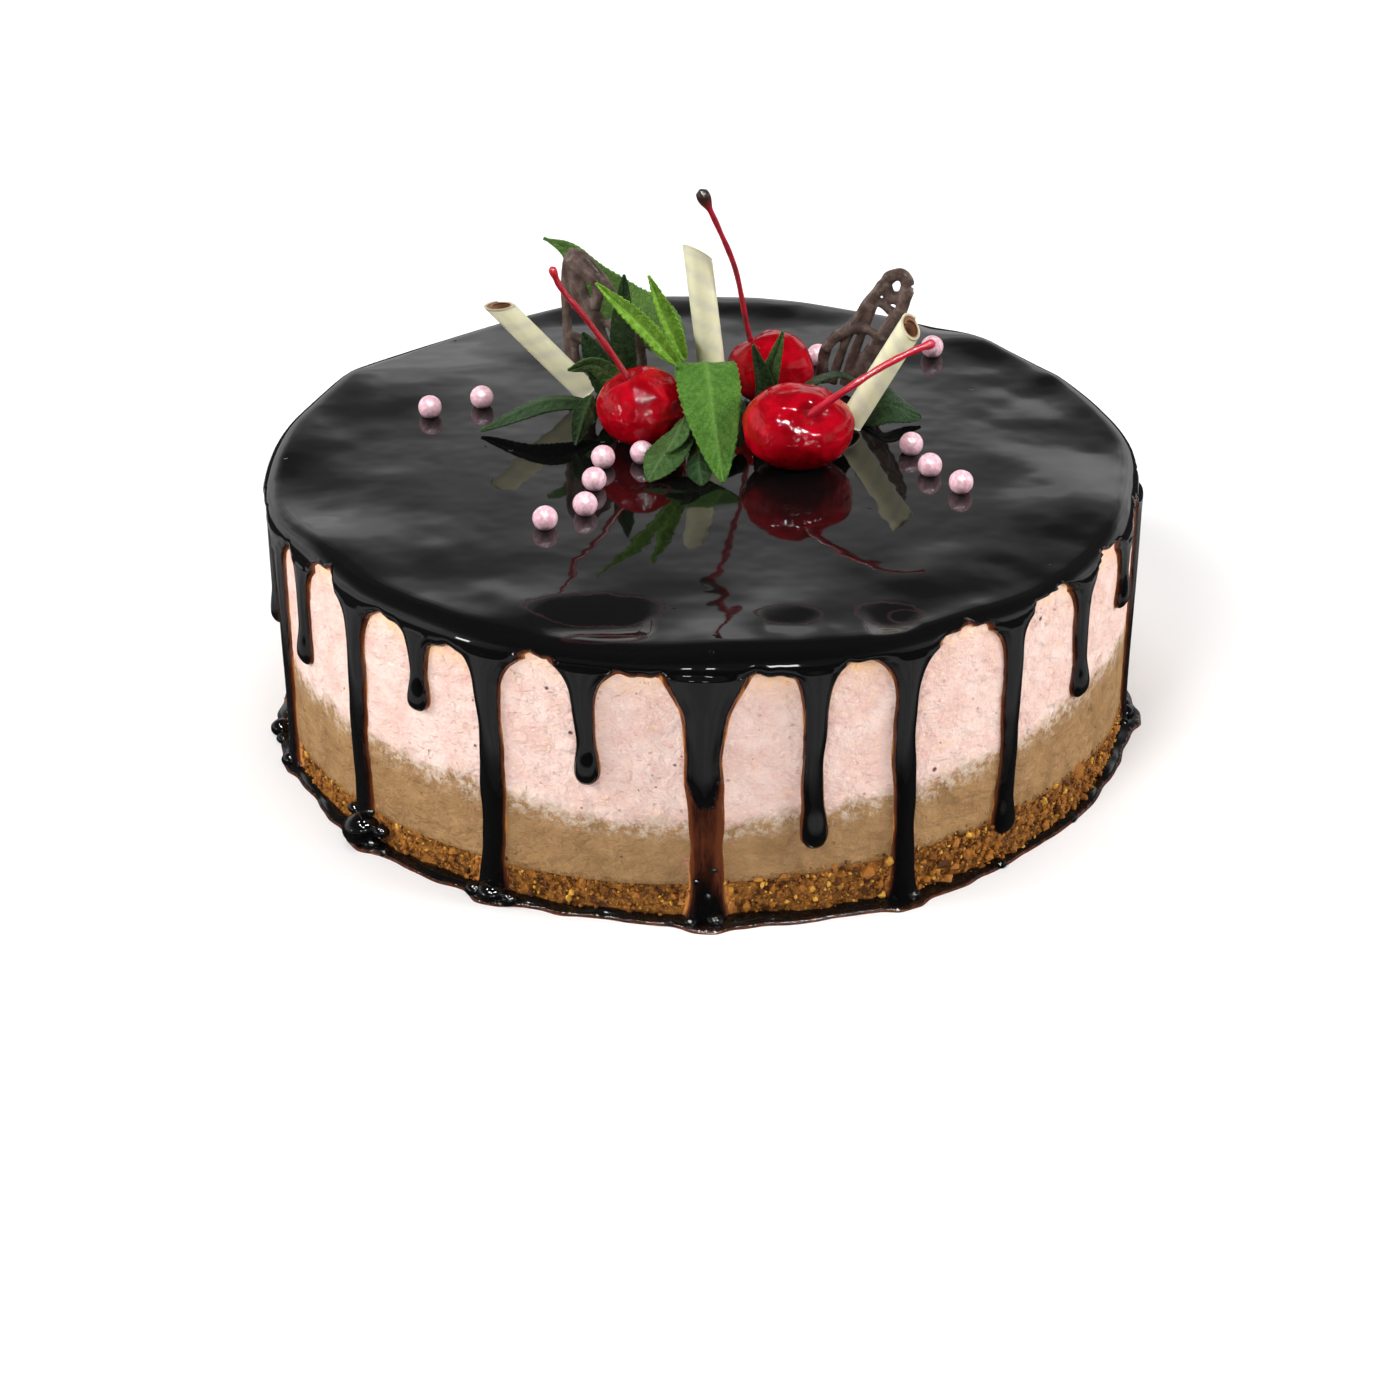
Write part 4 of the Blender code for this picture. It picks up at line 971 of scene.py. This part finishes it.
def pitted(angles, z):
    """Small pits left by bubbles, more of them to the right."""
    chance = np.random.default_rng(11)
    relief = np.zeros(z.shape)
    pits = [(*large, 0.8 * large[2]) for large in LARGE_PITS]
    for _ in range(SMALL_PITS):
        angle = chance.uniform(-180, 180)
        if chance.random() < 0.35:
            angle = chance.normal(62, 22)
        height = chance.uniform(*PIT_HEIGHTS)
        size = chance.uniform(0.5, 1.3)
        depth = min(0.45, chance.uniform(0.15, 0.65) * size)
        if not beside_drip(angle, height, size):
            pits.append((angle, height, size, depth))
    for angle, height, size, depth in pits:
        across = arc(angles - angle)
        near = np.abs(across) < 3 * size
        away = (across[near] ** 2 + ((z[:, near] - height) * 1.2) ** 2) / size ** 2
        relief[:, near] -= depth * np.exp(-away ** 1.5)
    return relief


def mousse_relief(angles, side, z):
    stretched = side * (1, 1, 1.6)
    relief = 0.14 * rough(side, 13, 1) + 0.07 * rough(stretched, 3.5, 2) + 0.05 * rough(stretched, 1.5, 4)
    relief = relief + pitted(angles, z) - 0.04
    corner = np.clip(1 - (mousse_top(angles) - z) / 1.2, 0, 1)
    return relief - 1.2 * (1 - np.sqrt(1 - corner ** 2))


def crumb_relief(angles, side, _):
    crags = rough(side, 2.6, 21) + 0.7 * rough(side, 1.3, 22) + 0.45 * rough(side, 0.7, 23)
    return -0.15 - CRUMB_DEPTH * (0.5 + 0.5 * np.clip(1.2 * crags, -1, 1)) + 0.7 * bell(angles, 42, 24)


def painted_glow_rule(angle, z):
    """Where painted warm light shows on the mousse, as if light came warm through the thin edge of the
    glaze.
    """
    below = np.maximum(skirt_edge(angle) - z, 0)
    return 0.9 * np.exp(-(below / 3.2) ** 1.5) * (0.7 + 0.3 * np.sin(7 * np.radians(angle)))


def build_layers():
    """The three layers, each reaching a little into the one below."""
    mousse = mousse_look()
    # glow carries the painted warm light below the glaze's edge.
    marks = {"above": lambda angle, z: z - berry_bottom(angle),
             "over_crumb": lambda angle, z: z - crumb_top(angle), "glow": painted_glow_rule}
    layer("berry_mousse", lambda angle: berry_bottom(angle) - LAP, mousse_top,
          66, mousse_relief, mousse, "berry_mousse", marks)
    layer("chocolate_mousse", lambda angle: crumb_top(angle) - LAP, lambda angle: berry_bottom(angle) + LAP,
          34, mousse_relief, mousse, "chocolate_mousse", marks)
    layer("crumb_base", lambda angle: 0.02 + 0 * angle, lambda angle: crumb_top(angle) + LAP,
          26, crumb_relief, crumb_look(), "crumb", {})


GRAINS = 6500


def build_grains():
    """Loose crumbs pressed into the side of the base and into the mousse just above it."""
    chance = np.random.default_rng(5)
    phi = (1 + math.sqrt(5)) / 2
    corners = np.array([(-1, phi, 0), (1, phi, 0), (-1, -phi, 0), (1, -phi, 0), (0, -1, phi), (0, 1, phi),
                        (0, -1, -phi), (0, 1, -phi), (phi, 0, -1), (phi, 0, 1), (-phi, 0, -1), (-phi, 0, 1)])
    corners = corners / np.linalg.norm(corners[0])
    sides = np.array([(0, 11, 5), (0, 5, 1), (0, 1, 7), (0, 7, 10), (0, 10, 11), (1, 5, 9), (5, 11, 4),
                      (11, 10, 2), (10, 7, 6), (7, 1, 8), (3, 9, 4), (3, 4, 2), (3, 2, 6), (3, 6, 8),
                      (3, 8, 9), (4, 9, 5), (2, 4, 11), (6, 2, 10), (8, 6, 7), (9, 8, 1)])
    angles = chance.uniform(-180, 180, GRAINS)
    thick = bell(angles, *CRUMB_HEAP)
    tops = crumb_top(angles)
    z = 0.4 + (tops + 0.9) * chance.power(1.15, GRAINS)
    size = chance.gamma(1.9, 0.16, GRAINS).clip(0.14, 1.1) * (1 + 1.5 * thick * chance.random(GRAINS) ** 4)
    size = np.where(z > tops, size * 0.7, size)
    z = np.maximum(z, size)
    centre = on_side(angles, CAKE_RADIUS - 0.30 - 0.35 * size + 0.9 * thick, z)
    stretch = chance.uniform(0.7, 1.3, (GRAINS, 1, 3)) * size[:, None, None]
    bumps = chance.uniform(0.65, 1.3, (GRAINS, 12, 1))
    points = centre[:, None, :] + corners * bumps * stretch
    points[..., 2] = np.maximum(points[..., 2], 0.02)
    faces = (sides[None] + 12 * np.arange(GRAINS)[:, None, None]).reshape(-1, 3)
    kind = np.repeat(chance.random(GRAINS), 12)
    grains = made_object("crumb_grains", points, faces.tolist(), grain_look(), {"kind": kind})
    grains.data.shade_flat()
    in_frame(grains, "crumb", "crumb_base")


# ---------------------------------------------------------------- the decoration

def cherry_centre(name):
    (x, y), half = CHERRIES[name][:2]
    return Vector((x, y, glaze_level(x, y) + GAP + half[2] - CHERRY_SEAT))


DENTED = {"cherry_left": (0.55, -0.20, 0.75)}    # which way a flat dent in the fruit faces


def cherry_fruit(name):
    """A wrinkled ellipsoid with a dimple at the stem and a flat spot where it rests."""
    half, facing = CHERRIES[name][1:3]
    axis = Vector(facing).normalized()
    turn = np.array(axis.to_track_quat("Z", "Y").to_matrix())
    rows, columns = 90, 140
    way = ball(rows, columns, 1.5) @ turn.T
    dimple = 0.24 * np.exp(-(1 - way @ np.array(axis)) / 0.06)
    shift = 40 + 9 * np.array(facing)
    folds = 1 - np.abs(rough(way + shift, 0.42, 31)) * 2
    fine = 1 - np.abs(rough(way + shift, 0.20, 32)) * 2
    wrinkle = 0.036 * rough(way + shift, 0.6, 33) + 0.022 * folds + 0.008 * fine
    reach = 1 - dimple + wrinkle
    if name in DENTED:
        facing_dent = way @ (np.array(DENTED[name]) / np.linalg.norm(DENTED[name]))
        reach = np.minimum(reach, (0.87 + 0.5 * wrinkle) / np.maximum(facing_dent, 0.3))
    points = np.array(cherry_centre(name)) + way * reach[..., None] * half
    floor = cherry_centre(name).z - half[2] + CHERRY_SEAT - SINK
    points[..., 2] = np.maximum(points[..., 2], floor)
    return points, turned_faces(rows, columns)


def cherry_stem(name):
    """A tube that flares into the fruit and ends in a knob, and which of its points are the knob's."""
    stem, radius, knob_radius = CHERRIES[name][3:]
    start = Vector(stem[0])
    along = (start - Vector(stem[1])).normalized()
    route = [start + along * 1.5] + [Vector(point) for point in stem]
    steps, sides = 60, 14
    line, radii = [], []
    for step in range(steps + 1):
        share = step / steps
        spot, _ = along_curve(route, share)
        wave = 0.06 * math.sin(31 * share) + 0.05 * math.sin(53 * share + 2)
        flare = 0.8 * math.exp(-share * 8)
        knob = (knob_radius / radius - 1) * smooth_step(0.88, 0.96, share)
        round_end = math.sqrt(max(0.04, 1 - max(0.0, (share - 0.97) / 0.03) ** 2))
        line.append(spot)
        radii.append(float(radius * (1 + wave + flare + knob) * round_end))
    points, faces = tube(line, radii, sides)
    ends = np.repeat(np.linspace(0, 1, steps + 1), sides)
    return points, faces, smooth_step(0.88, 0.96, ends)


# Stems: their two reds, and the colour of the knob.
STEM_COLOURS = {
    "cherry_front": (((0.50, 0.006, 0.025), (0.40, 0.005, 0.018)), (0.48, 0.014, 0.040)),
    "cherry_left": (((0.35, 0.005, 0.017), (0.27, 0.004, 0.012)), (0.44, 0.010, 0.021)),
    "cherry_back": (((0.36, 0.006, 0.022), (0.20, 0.008, 0.018)), (0.030, 0.014, 0.011)),
}


def build_cherries():
    fruit = cherry_look()
    for name in CHERRIES:
        points, faces = cherry_fruit(name)
        in_frame(made_object(name, points, faces, fruit), "cherry", name)
        points, faces, end = cherry_stem(name)
        stalk = stem_look(name, *STEM_COLOURS[name])
        in_frame(made_object(name + "_stem", points, faces, stalk, {"end": end}), "cherry", name)


def build_curls():
    """Sheets of white chocolate rolled up, each a spiral in section with a slanted mouth."""
    look = white_look()
    turns, steps, rows = 1.32, 60, 42
    for name, (low, high, mouth, radius, edge) in CURLS.items():
        low, high, mouth = Vector(low), Vector(high), Vector(mouth).normalized()
        low.z -= SINK
        axis = (high - low).normalized()
        length = (high - low).length
        turn = np.array(axis.to_track_quat("Z", "Y").to_matrix())
        share = np.linspace(0, 1, steps)
        a = math.radians(edge) + 2 * np.pi * turns * share
        outer = radius - (CURL_WALL + 0.06) * turns * share
        walls = [np.stack([r * np.cos(a), r * np.sin(a)], -1) for r in (outer, outer - CURL_WALL)]
        section = np.concatenate([walls[0], walls[1][::-1]])
        across = turn[:, 0] * section[:, :1] + turn[:, 1] * section[:, 1:]
        slant = -(across @ np.array(mouth)) / axis.dot(mouth)
        height = np.linspace(1, 0, rows)[:, None]
        along = length * height + slant * np.clip(2 * height - 1, 0, 1)
        points = np.array(low) + across + along[..., None] * np.array(axis)
        faces = [face[::-1] for face in grid_faces(rows, 2 * steps)]
        ends = [[k, k + 1, 2 * steps - 2 - k, 2 * steps - 1 - k] for k in range(steps - 1)]
        lower = [[(rows - 1) * 2 * steps + k for k in quad][::-1] for quad in ends]
        length_round = np.concatenate([outer * a, (outer * a)[::-1]])
        swirl = np.sin(1.15 * along + 0.95 * length_round + 0.8 * np.sin(along / 3))
        stripe = smooth_step(-0.2, 0.9, swirl + 0.5 * rough(points, 4.0, 41))
        # Painted shade: 1 on the inner face and on the inner turns of the outer face, which the look paints
        # brown.
        shaded = np.concatenate([smooth_step(0.70, 0.76, share), np.ones(steps)])
        inside = np.broadcast_to(shaded, stripe.shape)
        curl = made_object(name, points, faces + ends + lower, look, {"stripe": stripe, "inside": inside})
        in_frame(curl, "white_chocolate", name)


def build_lattices():
    """Piped strands, flat and ridged, fused where they cross."""
    look = dark_look()
    for name, (foot, across, strands) in LATTICES.items():
        side = Vector((*across, 0)).normalized()
        face = side.cross(Vector((0, 0, 1)))
        origin = Vector((*foot, glaze_level(*foot) + GAP - SINK))
        tubes = []
        for index, (half, spots, closed) in enumerate(strands):
            laid = np.array(origin + face * 2 * STRAND_STEP * (index % 4))
            route = [(u, 0, max(v, half)) for u, v in (spots + spots[:1] if closed else spots)]
            steps = 10 * (len(route) - 1)
            line = [along_curve(route, step / steps)[0] for step in range(steps + 1)]
            radii = [half * (0.90 + 0.05 * math.sin(0.5 * step + index)) for step in range(steps + 1)]
            points, faces = tube(line, radii, 14)
            u, deep, v = points.T[..., None]
            points = laid + u * np.array(side) - STRAND_FLATNESS * deep * np.array(face) + v * (0, 0, 1)
            tubes.append((points, faces))
        points, faces = merged(tubes)
        made = made_object(name, points, faces, look)
        melt = made.modifiers.new("Melt", "REMESH")
        melt.mode = "VOXEL"
        melt.voxel_size = 0.29 * MM
        soften = made.modifiers.new("Soften", "SMOOTH")
        soften.iterations = 2
        apply_modifiers(made)
        in_frame(made, "dark_chocolate", name)


def clear_of_others(spot, margin):
    """Keeps a leaf's point outside the cherries and above the glaze."""
    for name, (_, half, *_) in CHERRIES.items():
        offset = spot - cherry_centre(name)
        reach = Vector(offset[i] / (half[i] * 1.06 + margin) for i in range(3)).length
        if 0 < reach < 1:
            spot = cherry_centre(name) + offset / reach
    spot.z = max(spot.z, glaze_level(spot.x, spot.y) + margin)
    return spot


TOOTH = 1.6                    # distance between the teeth of a leaf's edge
RIB = 0.45                     # half the width of its midrib
BRANCH_STEP = 3.0              # distance between the veins that branch off
BRANCH = 0.42                  # half the width of each


def leaf_point(spec, along, sideways):
    """A point of a leaf's middle surface with its serrated edge and veins, and how much of a vein it is."""
    midrib, width, across, fold, green = spec
    centre, tangent = along_curve(midrib, along)
    side = Vector(across)
    side = (side - tangent * side.dot(tangent)).normalized()
    face = side.cross(tangent)
    length = sum((Vector(b) - Vector(a)).length for a, b in zip(midrib, midrib[1:]))
    broad, taper = (0.60, 1.1) if green == "mild" else (0.85, 0.7)
    reach = max(0.3, width / 2 * math.sin(math.pi * along ** broad) ** taper)
    tooth = (length * along / TOOTH) % 1
    bite = 0.20 if green == "bright" else 0.075
    reach *= 1 - bite * tooth * smooth_step(0.6, 1.0, abs(sideways)) * smooth_step(0.02, 0.2, along)
    ripple = 0.05 * math.sin(9 * along + 2 * sideways) * sideways ** 2
    lift = (fold * abs(sideways) ** 1.3 + ripple) * reach
    rib = math.exp(-(sideways * width / 2 / RIB) ** 2)
    branch = (length * along - 0.75 * abs(sideways) * width / 2) / BRANCH_STEP
    away = ((branch + 0.5) % 1 - 0.5) * BRANCH_STEP / BRANCH
    vein = math.exp(-away ** 2) * smooth_step(1.05, 0.5, abs(sideways))
    quilt = 0.15 * (1 - vein) * min(1.0, abs(sideways) * 3) * smooth_step(1.0, 0.75, abs(sideways))
    spot = centre + side * reach * sideways + face * (lift + quilt - 0.25 * rib)
    return clear_of_others(spot, LEAF_THICKNESS / 2 + 0.12), max(0.8 * rib, 0.4 * vein)


def build_leaves():
    """Thin wavy leaves, and the stem they grow from."""
    looks = {green: leaf_look(green) for green in GREENS}
    rows, columns = 100, 19
    for name, spec in LEAVES.items():
        points, veins = [], []
        for row in range(rows):
            for column in range(columns):
                spot, vein = leaf_point(spec, 1 - row / (rows - 1), 2 * column / (columns - 1) - 1)
                points.append(spot)
                veins.append(vein)
        faces = grid_faces(rows, columns, closed=False)
        leaf = made_object(name, points, faces, looks[spec[4]], {"vein": veins})
        thick = leaf.modifiers.new("Thickness", "SOLIDIFY")
        thick.thickness = LEAF_THICKNESS * MM
        thick.offset = 0
        apply_modifiers(leaf)
        in_frame(leaf, "mint", name)
    steps = 20
    line = [Vector(STEM_FOOT).lerp(Vector(STEM_TOP), step / steps) for step in range(steps + 1)]
    radii = [STEM_RADIUS * (1 + 0.08 * math.sin(step)) for step in range(steps + 1)]
    points, faces = tube(line, radii, 16)
    stem = made_object("mint_stem", points, faces, looks["bright"], {"vein": np.full(len(points), 0.5)})
    in_frame(stem, "mint", "mint_stem")


def build_pearls():
    """Slightly uneven balls, sunk a little into the glaze."""
    look = pearl_look()
    rows, columns = 32, 48
    way = ball(rows, columns, 2)
    for index, (x, y) in enumerate(PEARL_PLACES):
        radius = PEARL_RADIUS * (1 + 0.015 * rough(way + 3 * index, 0.8, 51))
        rest = glaze_level(x, y) + GAP + PEARL_RADIUS - PEARL_SINK
        points = way * radius[..., None] + np.array([x, y, rest])
        name = f"sugar_pearl_{index + 1:02d}"
        in_frame(made_object(name, points, turned_faces(rows, columns), look), "sugar_pearl", name)


# ---------------------------------------------------------------- the studio

CAMERA_PLACE = (-0.0008207, -0.647148, 0.354847)      # in metres
CAMERA_TILT = 28.7917          # degrees down from level
CAMERA_LENS = 78.127
CAMERA_SENSOR = 36             # width
FLOOR_REACH = 4000.0
CARD_RADII = (146.0, 246.0)    # of the pale ring on the floor that the glaze mirrors
CARD_FADE = 26.0               # how wide each of its soft edges is
# Brightness of the sky by the sine of its elevation.
SKY = [(0.0, 0.03), (0.05, 0.80), (0.35, 0.80), (0.41, 0.44), (0.46, 0.26), (0.55, 0.09), (0.80, 0.04)]
SKY_FRONT = (-0.75, -0.15, 0.12, 1.0)      # from the front to the back: where, and how bright
SKY_PATCHES = (0.35, 0.65, 0.8, 1.2)       # from the dim to the bright patches: where, and how bright


def build_camera():
    data = bpy.data.cameras.new("camera")
    data.sensor_width = CAMERA_SENSOR
    data.lens = CAMERA_LENS
    data.clip_start = 0.01
    camera = bpy.data.objects.new("camera", data)
    camera.location = CAMERA_PLACE
    camera.rotation_euler = (math.radians(90 - CAMERA_TILT), 0, 0)
    bpy.context.scene.collection.objects.link(camera)
    bpy.context.scene.camera = camera


def build_floor():
    """A pale floor. The glaze mirrors a pale ring on it instead, and is dark next to the foot."""
    plain = Look("floor", roughness=0.8, specular_ior_level=0.1)
    white = plain.finish(plain.mix(plain.noise(60, 2), (0.93, 0.93, 0.93), (0.95, 0.95, 0.95)))
    corners = [(x * FLOOR_REACH, y * FLOOR_REACH, 0) for x, y in ((-1, -1), (1, -1), (1, 1), (-1, 1))]
    floor = made_object("floor", corners, [(0, 1, 2, 3)], white)
    floor.visible_glossy = False

    angles = np.arange(0, 360, 3.0)
    rings = on_side(angles, np.array(CARD_RADII)[:, None], 0.5)
    pale = Look("card", roughness=0.8, specular_ior_level=0.1)
    away = pale.node("VectorMath", {0: pale.place}, operation="LENGTH").outputs["Value"]
    near, far = [radius * MM for radius in CARD_RADII]
    inward = pale.steps(away, near, near + CARD_FADE * MM)
    outward = pale.steps(away, far, far - CARD_FADE * MM)
    shade = pale.mix(pale.math("MULTIPLY", inward, outward), (0.03, 0.03, 0.03), (0.34, 0.35, 0.35))
    patched = pale.finish(pale.over(shade, pale.noise(30, 2), 0.4, 0.6, (0.10, 0.10, 0.10), 0.3))
    card = made_object("card", rings, grid_faces(2, len(angles)), patched)
    card.visible_camera = card.visible_diffuse = card.visible_shadow = card.visible_transmission = False


def build_sky():
    """A pale glow low at the sides and the back and dark elsewhere, which the glaze mirrors."""
    world = bpy.data.worlds.new("studio")
    bpy.context.scene.world = world
    world.use_nodes = True
    sky = Wiring(world.node_tree, "Generated")
    split = sky.node("SeparateXYZ", {0: sky.place})
    ramp = sky.node("ValToRGB", {0: split.outputs["Z"]})
    elements = ramp.color_ramp.elements
    for element, (position, value) in zip(elements, (SKY[0], SKY[-1])):
        element.position, element.color = position, (*[value] * 3, 1)
    for position, value in SKY[1:-1]:
        elements.new(position).color = (*[value] * 3, 1)
    front = sky.steps(split.outputs["Y"], *SKY_FRONT, kind="LINEAR")
    cloud = sky.node("TexNoise", {"Vector": sky.place, "Scale": 7, "Detail": 2}).outputs["Fac"]
    patches = sky.steps(cloud, *SKY_PATCHES, kind="LINEAR")
    light = sky.math("MULTIPLY", sky.math("MULTIPLY", ramp.outputs[0], front), patches)
    sky.put(world.node_tree.nodes["Background"].inputs["Color"], light)


LIGHT_AIM = Vector((0, 0, 0.04))
# Soft lights: place and size in metres, and power in watts.
LIGHTS = {
    "key": ((-0.9, -1.5, 1.7), 0.7, 28),
    "fill": ((0.8, -1.5, 1.2), 1.0, 3),
    "side_left": ((-2.0, -0.2, 0.9), 0.8, 35),
    "side_right": ((2.0, -0.2, 0.9), 0.8, 41),
    "top": ((0.0, 0.3, 2.0), 1.4, 16),
}
# Low lights that the rim mirrors: angle and size in metres.
GLINTS = [(-58.0, 0.16), (-8.5, 0.09), (-0.5, 0.09), (17.0, 0.18)]
GLINT_DISTANCE = 1.6           # metres from the rim's middle
GLINT_BASE = 0.06              # metres, the height of that middle
GLINT_RISE = math.radians(10)
GLINT_POWER = 60               # watts for each square metre
# High lights that only wet, round things mirror: place and size in metres.
SPARKS = [((-0.55, -1.1, 1.8), 0.13), ((-0.2, -1.3, 1.5), 0.09), ((0.15, -1.4, 1.2), 0.09),
          ((0.5, -1.2, 1.7), 0.10), ((0.85, -1.0, 1.5), 0.12), ((0.2, -0.4, 2.1), 0.12),
          ((-0.8, -0.3, 1.9), 0.12)]
SPARK_POWER = 1300.0           # watts for each square metre
SPARKED = ("cherry", "glaze_pool", "glaze_bubbles", "sugar_pearl")


def area_light(name, place, size, power, glossy):
    """A square light that faces the cake."""
    data = bpy.data.lights.new(name, "AREA")
    data.size = size
    data.energy = power
    light = bpy.data.objects.new(name, data)
    light.location = place
    light.rotation_euler = (LIGHT_AIM - Vector(place)).to_track_quat("-Z", "Y").to_euler()
    light.visible_glossy = glossy
    bpy.context.scene.collection.objects.link(light)
    return light


def build_lights():
    for name, (place, size, power) in LIGHTS.items():
        area_light(name, place, size, power, False)
    sparked = bpy.data.collections.new("sparked")
    for made in bpy.context.scene.objects:
        if made.name.startswith(SPARKED):
            sparked.objects.link(made)
    for index, (place, size) in enumerate(SPARKS):
        spark = area_light(f"spark_{index}", place, size, SPARK_POWER * size ** 2, True)
        spark.visible_diffuse = False
        spark.light_linking.receiver_collection = sparked
    for index, (turn, size) in enumerate(GLINTS):
        height = GLINT_BASE + GLINT_DISTANCE * math.sin(GLINT_RISE)
        place = on_side(turn, GLINT_DISTANCE * math.cos(GLINT_RISE), height)
        glint = area_light(f"glint_{index}", tuple(place), size, GLINT_POWER * size ** 2, True)
        glint.visible_diffuse = False


def build_scene():
    bpy.context.scene.view_settings.view_transform = "Standard"
    build_camera()
    build_floor()
    build_sky()
    build_layers()
    build_grains()
    glaze = glaze_look()
    build_glaze(glaze)
    build_pool(glaze)
    build_bubbles(glaze)
    build_menisci(glaze)
    build_cherries()
    build_curls()
    build_lattices()
    build_leaves()
    build_pearls()
    build_lights()


build_scene()
